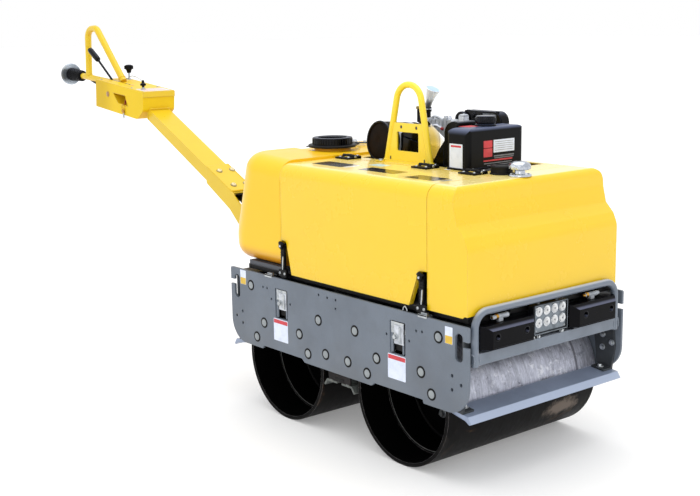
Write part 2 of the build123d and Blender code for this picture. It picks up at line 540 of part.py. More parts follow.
LOOP_D = 29.0
tube = bar([(BOX_X0 + 20, 0, 1053), (-2262, 0, 1076)], 1, 27)
loop = bar([(-2198, 0, 1068), (-2186, 0, 1287), (-2104, 0, 1291), (-1880, 0, 1062)], 44, LOOP_D)
handle = tube + loop - cbox
keep("control_box", cbox)
keep("drawbar_handle", handle)
keep("stop_button", Pos(-2318, 0, 1078) * Rot(0, -87, 0) * Cone(22, 27, 112) + Pos(-2378, 0, 1081) * Rot(0, -87, 0) * Cylinder(48, 10) - handle)
LEVER_Y = -17.0
lever = bar([(-1945, LEVER_Y, 1062), (-2086, LEVER_Y, 1161.3)], 1, 9) + bar([(-2074, LEVER_Y, 1153.9), (-2143, LEVER_Y, 1196)], 1, 24)
keep("travel_lever", lever - cbox)
KNOB_X, KNOB_Y = -1940.0, 62.0
knob = cyl_z(KNOB_X, KNOB_Y, 4, 1058, 1098) + cyl_z(KNOB_X, KNOB_Y, 10, 1096, 1110) + cyl_z(KNOB_X, KNOB_Y, 15, 1110, 1128)
for i in range(6):
    a = radians(60 * i + 20)
    knob = knob + cyl_z(KNOB_X + 15 * cos(a), KNOB_Y + 15 * sin(a), 6, 1111, 1127)
toggle = cyl_z(-1655, -33, 5, 1030, 1074) + cyl_z(-1655, -33, 12, 1052, 1060)
keep("control_knobs", knob - cbox, toggle - cbox)


# ---------------------------------------------------------------- write
os.makedirs("parts", exist_ok=True)
for name, shapes in NODES.items():
    solids = []
    for s in shapes:
        solids += list((Pos(SHIFT_X, 0, 0) * s).solids())
    out = solids[0] if len(solids) == 1 else Compound(children=solids)
    out.label = name
    export_step(out, os.path.join("parts", name + ".step"))
    print(name, len(solids))
print("shift", SHIFT_X)
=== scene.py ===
"""Finish, small fittings, light and camera for the double drum roller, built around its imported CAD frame."""
import math
import random
from math import cos, pi, radians, sin

import bmesh
import bpy
from mathutils import Euler, Matrix, Vector, noise


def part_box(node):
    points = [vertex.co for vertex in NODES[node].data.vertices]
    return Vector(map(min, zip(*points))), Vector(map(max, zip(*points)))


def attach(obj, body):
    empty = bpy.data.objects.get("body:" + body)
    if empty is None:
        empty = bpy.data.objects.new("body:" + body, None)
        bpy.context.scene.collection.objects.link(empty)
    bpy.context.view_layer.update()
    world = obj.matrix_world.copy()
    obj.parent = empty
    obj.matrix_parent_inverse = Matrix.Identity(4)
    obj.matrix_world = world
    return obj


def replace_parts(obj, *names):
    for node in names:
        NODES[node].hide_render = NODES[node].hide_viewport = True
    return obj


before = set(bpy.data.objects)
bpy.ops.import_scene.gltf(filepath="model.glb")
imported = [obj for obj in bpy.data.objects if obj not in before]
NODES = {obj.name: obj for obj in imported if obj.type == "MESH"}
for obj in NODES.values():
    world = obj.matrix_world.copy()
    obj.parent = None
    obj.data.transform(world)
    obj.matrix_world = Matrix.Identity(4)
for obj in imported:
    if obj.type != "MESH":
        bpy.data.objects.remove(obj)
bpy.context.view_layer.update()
_f, _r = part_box("front_drum_shell"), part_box("rear_drum_shell")
MX = (_f[0].x + _f[1].x + _r[0].x + _r[1].x) / 4      # station midway between the drum axles, m
random.seed(7)
scene = bpy.context.scene


def place(p):
    """Millimetres from the point between the drums to the row frame in metres."""
    return Vector((MX + p[0] / 1000, p[1] / 1000, p[2] / 1000))


# ------------------------------------------------------------------ materials
def lin(r, g, b):
    out = []
    for c in (r, g, b):
        c /= 255
        out.append(c / 12.92 if c <= 0.04045 else ((c + 0.055) / 1.055) ** 2.4)
    return (*out, 1.0)


class Graph:
    def __init__(self, name):
        self.mat = bpy.data.materials.new(name)
        self.mat.use_nodes = True
        self.t = self.mat.node_tree
        self.t.nodes.clear()
        self.out = self.t.nodes.new("ShaderNodeOutputMaterial")
        self.bsdf = self.t.nodes.new("ShaderNodeBsdfPrincipled")
        self.t.links.new(self.bsdf.outputs[0], self.out.inputs[0])
        self.co = self.t.nodes.new("ShaderNodeTexCoord").outputs["Object"]
        self.geo = None

    def put(self, sock, v):
        if isinstance(v, bpy.types.NodeSocket):
            self.t.links.new(v, sock)
        elif v is not None:
            sock.default_value = v

    def node(self, kind, ins=(), **attrs):
        n = self.t.nodes.new(kind)
        for k, v in attrs.items():
            setattr(n, k, v)
        for k, v in dict(ins).items():
            self.put(n.inputs[k], v)
        return n

    def math(self, op, a, b=None, c=None, clamp=False):
        n = self.t.nodes.new("ShaderNodeMath")
        n.operation = op
        n.use_clamp = clamp
        for i, v in enumerate((a, b, c)):
            if v is not None:
                self.put(n.inputs[i], v)
        return n.outputs[0]

    def noise(self, scale, detail=4.0, rough=0.55, co=None, distort=0.0):
        n = self.node("ShaderNodeTexNoise", {"Scale": scale, "Detail": detail, "Roughness": rough, "Distortion": distort})
        self.t.links.new(co or self.co, n.inputs["Vector"])
        return n.outputs["Fac"]

    def stretch(self, x, y, z, co=None):
        n = self.node("ShaderNodeVectorMath", operation="MULTIPLY")
        self.t.links.new(co or self.co, n.inputs[0])
        n.inputs[1].default_value = (x, y, z)
        return n.outputs[0]

    def ramp(self, v, lo, hi, a=0.0, b=1.0, smooth=True):
        n = self.node("ShaderNodeMapRange", {0: v, 1: lo, 2: hi, 3: a, 4: b}, clamp=True)
        n.interpolation_type = "SMOOTHSTEP" if smooth else "LINEAR"
        return n.outputs[0]

    def mix(self, fac, a, b):
        n = self.node("ShaderNodeMix", data_type="RGBA")
        self.put(n.inputs[0], fac)
        self.put(n.inputs[6], a)
        self.put(n.inputs[7], b)
        return n.outputs[2]

    def split(self, co=None):
        n = self.node("ShaderNodeSeparateXYZ")
        self.t.links.new(co or self.co, n.inputs[0])
        return n.outputs[0], n.outputs[1], n.outputs[2]

    def facing(self):
        """World direction the surface faces, as x, y, z."""
        n = self.node("ShaderNodeNewGeometry")
        return self.split(n.outputs["Normal"])

    def edge(self, radius):
        """1 at sharp convex and concave edges, 0 on flats."""
        b = self.node("ShaderNodeBevel", {"Radius": radius}, samples=4)
        g = self.node("ShaderNodeNewGeometry")
        d = self.node("ShaderNodeVectorMath", operation="DOT_PRODUCT")
        self.t.links.new(b.outputs[0], d.inputs[0])
        self.t.links.new(g.outputs["Normal"], d.inputs[1])
        return self.math("SUBTRACT", 1.0, d.outputs["Value"], clamp=True)


def surface(name, col, col2=None, scale=3.0, rough=(0.35, 0.45), rough_scale=9.0, metal=0.0, spec=0.5, coat=0.0,
            coat_rough=0.08, bumps=((220, 0.02, 2),), edge=None, bevel=1.2, specks=None, grime=None, streaks=None,
            low=None, bands=()):
    """One painted, moulded or metal finish. Bumps are rows of noise scale, height in mm, detail. edge is
    (colour, amount, radius mm): broken patches along edges, which are paint wear and, where the colour is paler than
    the finish, also a painted edge highlight. specks is (colour, scale, cut, amount). grime is (colour, scale, amount).
    low is (colour, z below, z above, amount): dust that thins out with height. streaks is (colour, x y z stretch,
    amount)."""
    g = Graph(name)
    b = g.bsdf
    col2 = col2 or tuple(c * 0.86 for c in col[:3]) + (1.0,)
    c = g.mix(g.ramp(g.noise(scale, 5, 0.6), 0.35, 0.68), col, col2)
    if streaks:
        k, xyz, amount = streaks
        f = g.ramp(g.noise(1.0, 6, 0.65, g.stretch(*xyz)), 0.45, 0.75, 0.0, amount)
        c = g.mix(f, c, k)
    if grime:
        k, s, amount = grime
        f = g.ramp(g.noise(s, 8, 0.68, distort=0.6), 0.5, 0.78, 0.0, amount)
        c = g.mix(f, c, k)
    if low:
        k, z0, z1, amount = low
        z = g.split()[2]
        f = g.math("MULTIPLY", g.ramp(z, z0, z1, amount, 0.0), g.ramp(g.noise(7, 7, 0.7), 0.3, 0.7))
        c = g.mix(f, c, k)
    if specks:
        k, s, cut, amount = specks
        f = g.ramp(g.noise(s, 2, 0.5), cut, cut + 0.04, 0.0, amount)
        c = g.mix(f, c, k)
    r = g.ramp(g.noise(rough_scale, 6, 0.62), 0.3, 0.72, rough[0], rough[1], smooth=False)
    # Edge patches: paint wear, and where the edge colour is paler than the finish, also a painted highlight.
    if edge:
        k, amount, rad = edge
        e = g.ramp(g.edge(rad / 1000), 0.02, 0.22)
        f = g.math("MULTIPLY", e, g.ramp(g.noise(38, 5, 0.7), 0.42, 0.66, 0.15, amount))
        c = g.mix(f, c, k)
    for fn in bands:
        c, r = fn(g, c, r)
    g.put(b.inputs["Base Color"], c)
    g.put(b.inputs["Roughness"], r)
    b.inputs["Metallic"].default_value = metal
    b.inputs["Specular IOR Level"].default_value = spec
    b.inputs["Coat Weight"].default_value = coat
    b.inputs["Coat Roughness"].default_value = coat_rough
    nrm = None
    if bevel:
        nrm = g.node("ShaderNodeBevel", {"Radius": bevel / 1000}, samples=4).outputs[0]
    for s, mm, det in bumps:
        n = g.node("ShaderNodeBump", {"Height": g.noise(s, det, 0.6), "Distance": mm / 1000, "Strength": 1.0})
        if nrm is not None:
            g.put(n.inputs["Normal"], nrm)
        nrm = n.outputs[0]
    if nrm is not None:
        g.put(b.inputs["Normal"], nrm)
    return g.mat


YEL, YEL2 = (0.875, 0.580, 0.010, 1), (0.860, 0.560, 0.009, 1)
TNK, TNK2 = (0.900, 0.545, 0.006, 1), (0.880, 0.520, 0.005, 1)
BAR, BAR2 = (0.738, 0.512, 0.013, 1), (0.713, 0.487, 0.011, 1)
EYE, EYE2 = (0.94, 0.705, 0.034, 1), (0.91, 0.675, 0.030, 1)
GREY, GREY2 = lin(110, 119, 131), lin(101, 109, 120)
BLK = lin(17, 17, 19)


def tank_painted_underside_shade(g, c, r):
    """Painted shade: the underside of the moulding is painted deeper in colour."""
    z = g.split()[2]
    f = g.ramp(z, 0.515, 0.572, 0.9, 0.0)
    return g.mix(f, c, lin(196, 120, 6)), r


def neck_painted_shade(g, c, r):
    """Painted shade: the filler neck under the cap's flange is painted a little deeper in colour than the tank's skin.
    """
    x, y, z = g.split()
    dx = g.math("SUBTRACT", x, MX - 0.425)
    d = g.math("SQRT", g.math("ADD", g.math("MULTIPLY", dx, dx), g.math("MULTIPLY", y, y)))
    f = g.math("MULTIPLY", g.ramp(d, 0.066, 0.061), g.ramp(z, 0.8655, 0.868))
    return g.mix(g.math("MULTIPLY", f, 0.6), c, lin(226, 150, 40)), r


def bar_underside_painted_shade(g, c, r):
    """Painted shade: the downward-facing undersides of the painted bars are painted deeper in colour."""
    nz = g.facing()[2]
    return g.mix(g.ramp(nz, -0.1, -0.8, 0.0, 0.5), c, lin(206, 142, 8)), r


def sky_painted_reflection(g, c, r):
    """Painted reflection: upward faces of the black mouldings are painted a cool, paler tone."""
    nz = g.facing()[2]
    return g.mix(g.ramp(nz, 0.55, 0.97, 0.0, 0.85), c, lin(50, 56, 74)), r


def bevel_painted_highlight(g, c, r):
    """Painted highlight: a thin line along the blocks' bevel is painted lighter than their face."""
    nz = g.facing()[2]
    z = g.split()[2]
    f = g.math("MULTIPLY", g.ramp(nz, 0.25, 0.4), g.ramp(nz, 0.94, 0.86))
    f = g.math("MULTIPLY", f, g.ramp(z, 0.4705, 0.4655))
    return g.mix(g.math("MULTIPLY", f, 0.95), c, lin(92, 96, 116)), r


def tube_top_painted_highlight(g, c, r):
    """Painted highlight: the paint is painted paler along the top of the rails."""
    nz = g.facing()[2]
    return g.mix(g.ramp(nz, 0.45, 0.95, 0.0, 0.9), c, lin(184, 193, 207)), r


def blade_lip_painted_highlight(g, c, r):
    """Painted highlight: the blade's forward-facing turned lip is painted brighter than its top face."""
    nx, ny, nz = g.facing()
    return g.mix(g.ramp(nx, 0.3, 0.7), c, lin(164, 177, 201)), r


def tail_painted_shade(g, c, r):
    """Chromed tail: painted darker towards its foot, with darker streaks along its length and painted shade along its
    far side.
    """
    x, y, z = g.split()
    c = g.mix(g.ramp(z, 1.050, 1.030, 0.0, 0.92), c, lin(34, 36, 42))
    c = g.mix(g.ramp(g.noise(1.0, 4, 0.6, g.stretch(90, 90, 12)), 0.50, 0.66, 0.0, 0.6), c, lin(120, 126, 138))
    side = g.math("SUBTRACT", g.math("SUBTRACT", x, MX - 0.147), g.math("MULTIPLY", g.math("SUBTRACT", z, 1.018), 0.445))
    return g.mix(g.ramp(side, -0.004, -0.022, 0.0, 0.35), c, lin(120, 128, 142)), r


def button_painted_reflection(g, c, r):
    """Painted reflection: the polished plate is painted dark across its middle and left pale above and below."""
    z = g.split()[2]
    d = g.math("ABSOLUTE", g.math("SUBTRACT", z, 1.081))
    return g.mix(g.ramp(d, 0.034, 0.016, 0.0, 0.85), c, lin(76, 80, 86)), r


def fuel_painted_reflection(g, c, r):
    """Painted reflection: a cool, paler tone painted over the fuel tank's rounded shoulders and top."""
    nz = g.facing()[2]
    return g.mix(g.ramp(nz, 0.12, 0.95, 0.0, 0.95), c, lin(88, 96, 122)), r


def hood_top_painted_highlight(g, c, r):
    """Painted highlight: the front hood's top is painted paler."""
    x, y, z = g.split()
    nz = g.facing()[2]
    f = g.math("MULTIPLY", g.ramp(nz, 0.90, 0.995), g.ramp(x, MX + 0.30, MX + 0.46, 0.34, 0.62))
    return g.mix(f, c, lin(255, 246, 186)), r


def box_side_painted_shade(g, c, r):
    """Painted shade: the control box's sides are painted deeper towards the operator's end."""
    x, y, z = g.split()
    ny = g.facing()[1]
    f = g.math("MULTIPLY", g.ramp(x, -0.93, -1.06, 0.0, 0.55), g.ramp(g.math("ABSOLUTE", ny), 0.4, 0.8), clamp=True)
    return g.mix(f, c, lin(190, 156, 18)), r


def cone_painted_reflection(g, c, r):
    """Polished cone: painted reflection of the yellow deck, warm near the drum and paler towards its tip; its low side
    near the drum glows faintly yellow as painted reflected light.
    """
    x, y, z = g.split()
    f = g.math("MULTIPLY", g.ramp(y, 0.230, 0.186), g.ramp(z, 0.985, 0.885, 0.68, 1.0), clamp=True)
    low = g.math("MULTIPLY", g.ramp(y, 0.250, 0.215), g.ramp(z, 0.925, 0.870), clamp=True)
    g.put(g.bsdf.inputs["Emission Color"], g.mix(low, lin(0, 0, 0), lin(232, 194, 66)))
    g.bsdf.inputs["Emission Strength"].default_value = 0.42
    return g.mix(f, c, lin(242, 204, 62)), r


def tray_grey(g, c, r):
    """Bed plate: black edge below, grey tray above it."""
    z = g.split()[2]
    return g.mix(g.ramp(z, 0.4962, 0.4968), c, lin(88, 91, 98)), r


M = {}
M["yellow"] = surface("hood_yellow_paint", YEL, YEL2, scale=1.2, rough=(0.24, 0.30), rough_scale=4, spec=0.42, coat=0.32, coat_rough=0.07,
                      bumps=((2.6, 0.12, 2), (420, 0.004, 2)), edge=(lin(255, 238, 160), 0.45, 2.2), bevel=2.2,
                      specks=(lin(214, 172, 60), 900, 0.72, 0.14), grime=(lin(226, 184, 70), 4.5, 0.04), bands=(hood_top_painted_highlight,))
M["yellow_bar"] = surface("drawbar_yellow_paint", BAR, BAR2, scale=4, rough=(0.26, 0.36), spec=0.36, coat=0.2, bands=(bar_underside_painted_shade,),
                          bumps=((30, 0.03, 3), (380, 0.006, 2)), edge=(lin(255, 238, 160), 0.5, 1.6), bevel=1.8,
                          specks=(lin(186, 144, 56), 700, 0.70, 0.25), grime=(lin(212, 168, 60), 9, 0.08))
M["yellow_box"] = surface("control_box_paint", (0.79, 0.538, 0.008, 1), (0.765, 0.513, 0.007, 1), scale=4, rough=(0.34, 0.44), spec=0.16, coat=0.02,
                          bands=(bar_underside_painted_shade, box_side_painted_shade), bumps=((30, 0.03, 3), (380, 0.006, 2)), edge=(lin(255, 238, 160), 0.5, 1.6), bevel=1.8,
                          specks=(lin(186, 144, 56), 700, 0.70, 0.25), grime=(lin(212, 168, 60), 9, 0.08))
M["eye_yellow"] = surface("eye_yellow_paint", EYE, EYE2, scale=4, rough=(0.26, 0.36), spec=0.4, coat=0.3,
                          bumps=((30, 0.03, 3), (380, 0.006, 2)), edge=(lin(255, 238, 160), 0.5, 1.6), bevel=1.8,
                          specks=(lin(186, 144, 56), 700, 0.70, 0.25), grime=(lin(212, 168, 60), 9, 0.08))
M["tank"] = surface("tank_yellow_plastic", TNK, TNK2, scale=2.2, rough=(0.28, 0.38), rough_scale=4, spec=0.36, coat=0.12, coat_rough=0.2,
                    bumps=((5, 0.35, 3), (150, 0.015, 3)), bevel=4.0, grime=(lin(232, 176, 50), 5, 0.06), bands=(tank_painted_underside_shade, neck_painted_shade))
M["grey"] = surface("frame_grey_powder", GREY, GREY2, scale=5, rough=(0.42, 0.56), spec=0.36, bumps=((520, 0.03, 3), (60, 0.03, 3)),
                    edge=(lin(170, 176, 184), 0.55, 1.6), bevel=1.4, specks=(lin(80, 86, 95), 650, 0.66, 0.4),
                    low=(lin(118, 114, 106), 0.20, 0.42, 0.2), grime=(lin(92, 98, 107), 11, 0.22))
M["grey_dark"] = surface("bracket_dark_grey", lin(62, 66, 70), lin(50, 54, 58), scale=9, rough=(0.42, 0.6), spec=0.3,
                         bumps=((420, 0.03, 3), (60, 0.04, 3)), edge=(lin(120, 126, 132), 0.5, 1.4), bevel=1.4, grime=(lin(38, 40, 42), 14, 0.35))
M["carrier_brown"] = surface("carrier_dusty_black", lin(38, 34, 35), lin(26, 24, 25), scale=9, rough=(0.5, 0.66), spec=0.15,
                             bumps=((260, 0.03, 3), (30, 0.08, 3)), edge=(lin(70, 64, 62), 0.4, 1.2), bevel=1.2, grime=(lin(54, 46, 42), 14, 0.35))
M["blade"] = surface("scraper_ground_steel", lin(142, 155, 180), lin(130, 143, 166), scale=7, rough=(0.28, 0.4), spec=0.4, coat=0.15,
                     bumps=((90, 0.03, 3), (400, 0.015, 2)), edge=(lin(200, 210, 224), 0.5, 1.4), bevel=1.4,
                     specks=(lin(80, 88, 98), 600, 0.67, 0.25), grime=(lin(98, 106, 118), 12, 0.2), bands=(blade_lip_painted_highlight,))
M["inner_blade"] = surface("inner_scraper_steel", lin(104, 108, 106), lin(74, 78, 76), scale=12, rough=(0.4, 0.56), spec=0.3, metal=0.2,
                           bumps=((120, 0.05, 3), (400, 0.02, 2)), edge=(lin(190, 194, 190), 0.6, 1.2), bevel=1.0, grime=(lin(46, 46, 42), 14, 0.4))
M["grey_blue"] = surface("bumper_grey_paint", lin(112, 122, 136), lin(98, 108, 121), scale=7, rough=(0.28, 0.4), spec=0.5, coat=0.25,
                         bumps=((90, 0.03, 3), (400, 0.015, 2)), edge=(lin(188, 198, 212), 0.6, 1.4), bevel=1.6,
                         specks=(lin(80, 88, 98), 600, 0.67, 0.35), grime=(lin(92, 100, 110), 12, 0.22), bands=(tube_top_painted_highlight,))
M["black_steel"] = surface("black_steel_paint", lin(11, 11, 13), lin(7, 7, 8), scale=8, rough=(0.38, 0.56), spec=0.16,
                           bumps=((260, 0.03, 3), (30, 0.08, 3)), edge=(lin(58, 58, 62), 0.5, 1.2), bevel=1.2,
                           grime=(lin(28, 26, 24), 9, 0.25), low=(lin(40, 36, 30), 0.0, 0.25, 0.2))
# Black paint, made near black with almost no gloss: painted shade for the drums' insides, the axle carriers and the
# inside of the neck.
M["pit"] = surface("black_paint_and_painted_shade_inside_drum", lin(6, 6, 7), lin(4, 4, 4), scale=8, rough=(0.6, 0.75), spec=0.03,
                   bumps=((260, 0.03, 3), (30, 0.08, 3)), edge=(lin(26, 26, 27), 0.4, 1.2), bevel=1.2, grime=(lin(10, 9, 8), 9, 0.3))
M["rubber"] = surface("black_rubber", lin(12, 12, 14), lin(8, 8, 9), scale=12, rough=(0.42, 0.6), spec=0.2,
                      bumps=((340, 0.04, 3), (45, 0.05, 3)), edge=(lin(56, 60, 72), 0.5, 2.5), bevel=2.6,
                      grime=(lin(30, 30, 32), 20, 0.2))
# Bumper rubber: its paler bluish edge colour and its bevel band are painted highlight.
M["bumper"] = surface("bumper_rubber", lin(8, 8, 12), lin(6, 6, 8), scale=12, rough=(0.26, 0.36), spec=0.06, coat=0.03, coat_rough=0.15,
                      bumps=((340, 0.02, 3), (30, 0.05, 3)), edge=(lin(96, 104, 128), 0.6, 2.2), bevel=2.2,
                      grime=(lin(18, 18, 21), 20, 0.2), bands=(bevel_painted_highlight,))
M["plastic"] = surface("black_moulded_plastic", lin(8, 8, 11), lin(6, 6, 8), scale=10, rough=(0.28, 0.38), spec=0.12,
                       bumps=((620, 0.02, 2), (20, 0.06, 2)), edge=(lin(62, 66, 80), 0.5, 1.8), bevel=2.4,
                       grime=(lin(20, 20, 22), 14, 0.12), bands=(sky_painted_reflection,))
M["fuel"] = surface("fuel_tank_plastic", lin(8, 8, 11), lin(6, 6, 8), scale=10, rough=(0.28, 0.38), spec=0.12,
                    bumps=((620, 0.02, 2), (20, 0.06, 2)), edge=(lin(62, 66, 80), 0.3, 1.8), bevel=2.4,
                    grime=(lin(20, 20, 22), 14, 0.12), bands=(fuel_painted_reflection,))
M["gloss_black"] = surface("gloss_black_plastic", lin(7, 7, 11), lin(5, 5, 8), scale=10, rough=(0.14, 0.22), spec=0.14, coat=0.08,
                           bumps=((20, 0.05, 2),), edge=(lin(84, 92, 116), 0.6, 1.8), bevel=2.0, grime=(lin(16, 16, 20), 14, 0.12), bands=(sky_painted_reflection,))
M["zinc"] = surface("zinc_plate", lin(196, 200, 202), lin(160, 166, 172), scale=60, rough=(0.26, 0.46), rough_scale=50, metal=1.0,
                    bumps=((300, 0.03, 3),), edge=(lin(230, 232, 234), 0.6, 0.8), bevel=0.6, grime=(lin(120, 124, 128), 40, 0.4))
# Tail: near-white base with little metal, a painted reflection standing in for the chrome's bright reflection.
M["tail"] = surface("satin_chromed_tail", lin(248, 251, 255), lin(234, 240, 248), scale=14, rough=(0.16, 0.28), rough_scale=30, metal=0.15, spec=0.6,
                    coat=0.3, bumps=((60, 0.02, 2),), bevel=0.8, grime=(lin(196, 204, 216), 26, 0.25), bands=(tail_painted_shade,))
# Pale blue on the tail's open mouth: painted reflection.
M["tail_mouth"] = surface("tail_mouth_painted_reflection", lin(176, 204, 232), lin(150, 178, 208), scale=14, rough=(0.3, 0.45), rough_scale=30, metal=0.2,
                          bumps=((60, 0.02, 2),), bevel=0.8, grime=(lin(120, 130, 144), 26, 0.25))
M["bolt_warm"] = surface("bolt_warm_plate", lin(204, 168, 128), lin(156, 120, 86), scale=40, rough=(0.3, 0.45), metal=0.35,
                         bumps=((300, 0.02, 2),), edge=(lin(120, 84, 50), 0.6, 1.2), bevel=0.8, grime=(lin(130, 96, 60), 30, 0.4))
M["button_silver"] = surface("button_silver", lin(196, 206, 218), lin(140, 150, 162), scale=16, rough=(0.16, 0.28), metal=0.45, spec=0.6, coat=0.3,
                             bumps=((60, 0.02, 2),), edge=(lin(90, 96, 106), 0.5, 1.6), bevel=1.0, grime=(lin(84, 90, 100), 22, 0.35), bands=(button_painted_reflection,))
M["bolt_cream"] = surface("bolt_pale_plate", lin(238, 228, 192), lin(222, 210, 170), scale=40, rough=(0.26, 0.4), metal=0.25,
                          bumps=((300, 0.02, 2),), edge=(lin(170, 150, 96), 0.4, 1.0), bevel=0.8, grime=(lin(190, 172, 120), 30, 0.3))
M["washer_dull"] = surface("washer_dull_plate", lin(150, 134, 84), lin(126, 112, 70), scale=40, rough=(0.36, 0.5), metal=0.3,
                           bumps=((300, 0.02, 2),), bevel=0.4, grime=(lin(96, 84, 52), 30, 0.3))
M["chrome"] = surface("bright_chrome", lin(214, 220, 228), lin(176, 182, 192), scale=14, rough=(0.06, 0.18), rough_scale=30, metal=1.0,
                      bumps=((60, 0.02, 2),), bevel=0.8, grime=(lin(120, 122, 128), 26, 0.3))
M["cast"] = surface("cast_aluminium", lin(216, 221, 229), lin(170, 175, 183), scale=24, rough=(0.42, 0.58), rough_scale=40, metal=0.55,
                    bumps=((420, 0.12, 3), (70, 0.12, 3)), edge=(lin(200, 202, 208), 0.5, 1.2), bevel=1.4,
                    grime=(lin(52, 50, 50), 22, 0.45))
M["brass"] = surface("nozzle_brass", lin(214, 164, 74), lin(176, 128, 54), scale=60, rough=(0.2, 0.36), metal=1.0,
                     bumps=((260, 0.02, 2),), bevel=0.6, grime=(lin(120, 84, 40), 60, 0.35))
M["nozzle_white"] = surface("nozzle_body_grey", lin(186, 192, 200), lin(156, 162, 170), scale=30, rough=(0.35, 0.5), bumps=((200, 0.03, 2),), bevel=0.8)
M["lamp"] = surface("lamp_housing", lin(15, 16, 19), lin(10, 11, 13), scale=20, rough=(0.3, 0.45), spec=0.3, bumps=((400, 0.03, 2),),
                    edge=(lin(110, 116, 124), 0.6, 1.0), bevel=1.0, grime=(lin(34, 34, 36), 24, 0.2))
M["lamp_face"] = surface("lamp_face_satin", lin(126, 134, 142), lin(98, 106, 114), scale=30, rough=(0.26, 0.42), metal=0.7, bumps=((300, 0.03, 2),),
                         edge=(lin(200, 206, 212), 0.6, 1.0), bevel=0.8, grime=(lin(60, 64, 70), 30, 0.35))
M["reflector"] = surface("lamp_reflector", lin(228, 230, 232), lin(190, 194, 200), scale=70, rough=(0.14, 0.26), metal=1.0, bumps=((90, 0.02, 2),), bevel=0,
                         grime=(lin(110, 114, 120), 90, 0.4))
M["lens"] = surface("lamp_lens", lin(214, 216, 216), lin(184, 186, 188), scale=70, rough=(0.1, 0.24), coat=0.6, bumps=((160, 0.02, 2),), bevel=0)
M["chip"] = surface("lamp_chip", lin(238, 232, 200), lin(222, 214, 176), scale=90, rough=(0.3, 0.5), bumps=((200, 0.02, 2),), bevel=0)
M["white"] = surface("label_white", lin(224, 232, 250), lin(210, 219, 238), scale=30, rough=(0.3, 0.45), coat=0.1, bumps=((300, 0.012, 2),), bevel=0,
                     grime=(lin(182, 188, 198), 60, 0.3))
M["red"] = surface("label_red", lin(206, 44, 56), lin(186, 38, 50), scale=30, rough=(0.3, 0.45), coat=0.1, bumps=((300, 0.012, 2),), bevel=0,
                   grime=(lin(226, 130, 132), 50, 0.2))
M["faded_red"] = surface("label_faded", lin(240, 150, 110), lin(232, 176, 112), scale=60, rough=(0.3, 0.45), coat=0.1, bumps=((300, 0.012, 2),), bevel=0,
                         grime=(lin(244, 200, 120), 60, 0.5))
M["cyan"] = surface("label_pale_blue", lin(190, 224, 220), lin(214, 226, 222), scale=40, rough=(0.3, 0.45), coat=0.1, bumps=((300, 0.012, 2),), bevel=0)
M["amber"] = surface("label_amber", lin(222, 184, 52), lin(210, 170, 44), scale=30, rough=(0.3, 0.45), coat=0.1, bumps=((300, 0.012, 2),), bevel=0,
                     grime=(lin(196, 156, 60), 40, 0.2))
M["ink"] = surface("label_dark", lin(30, 31, 37), lin(22, 23, 28), scale=30, rough=(0.16, 0.28), spec=0.5, coat=0.5, bumps=((300, 0.008, 2),), bevel=0,
                   grime=(lin(60, 62, 70), 26, 0.3))
M["print"] = surface("label_print_grey", lin(120, 122, 130), lin(104, 106, 114), scale=40, rough=(0.32, 0.46), bumps=((300, 0.01, 2),), bevel=0)
M["plug"] = surface("plug_centre_grey", lin(150, 156, 159), lin(138, 144, 148), scale=16, rough=(0.4, 0.52), spec=0.35, bumps=((400, 0.02, 2),), bevel=1.0,
                    grime=(lin(118, 123, 128), 30, 0.25))
M["brown"] = surface("heat_tinted_steel", lin(28, 17, 7), lin(18, 11, 5), scale=16, rough=(0.42, 0.6), metal=0.1, spec=0.07,
                     bumps=((200, 0.06, 3), (24, 0.12, 2)), edge=(lin(48, 36, 24), 0.3, 1.2), bevel=1.4, grime=(lin(12, 9, 7), 12, 0.35))
# Near-white base: painted reflection, standing in for the polished steel's bright reflection.
M["bright"] = surface("bright_sheet_steel", lin(244, 240, 226), lin(228, 222, 204), scale=9, rough=(0.18, 0.3), rough_scale=22, metal=0.3, spec=0.5,
                      bumps=((26, 0.05, 3), (240, 0.01, 2)), bevel=1.2, grime=(lin(206, 192, 140), 16, 0.2), bands=(cone_painted_reflection,))
M["ceramic"] = surface("glazed_ceramic", lin(236, 232, 222), lin(220, 214, 202), scale=40, rough=(0.12, 0.24), coat=0.5, bumps=((200, 0.01, 2),), bevel=0.6)
M["hose_red"] = surface("red_hose", lin(170, 40, 44), lin(140, 34, 38), scale=40, rough=(0.4, 0.55), bumps=((400, 0.05, 2),), bevel=0.8, grime=(lin(90, 34, 34), 30, 0.3))
# Grey for the painted highlight on the air cleaner lid's shoulder.
M["shoulder_highlight_grey"] = surface("lid_shoulder_painted_highlight", lin(92, 97, 106), lin(74, 79, 88), scale=18, rough=(0.3, 0.42), bumps=((400, 0.02, 2),),
                          edge=(lin(150, 156, 166), 0.5, 1.2), bevel=1.6, grime=(lin(58, 60, 66), 18, 0.25))
M["cube_grey"] = surface("cover_pale_plastic", lin(238, 243, 255), lin(214, 220, 236), scale=22, rough=(0.3, 0.42), bumps=((400, 0.02, 2),),
                         edge=(lin(224, 228, 234), 0.5, 1.2), bevel=1.8, grime=(lin(100, 104, 112), 30, 0.3))
M["tray"] = surface("bed_plate_paint", lin(11, 11, 13), lin(7, 7, 8), scale=8, rough=(0.4, 0.56), spec=0.22, bumps=((260, 0.03, 3), (30, 0.06, 3)),
                    edge=(lin(110, 112, 118), 0.5, 1.4), bevel=1.4, bands=(tray_grey,))


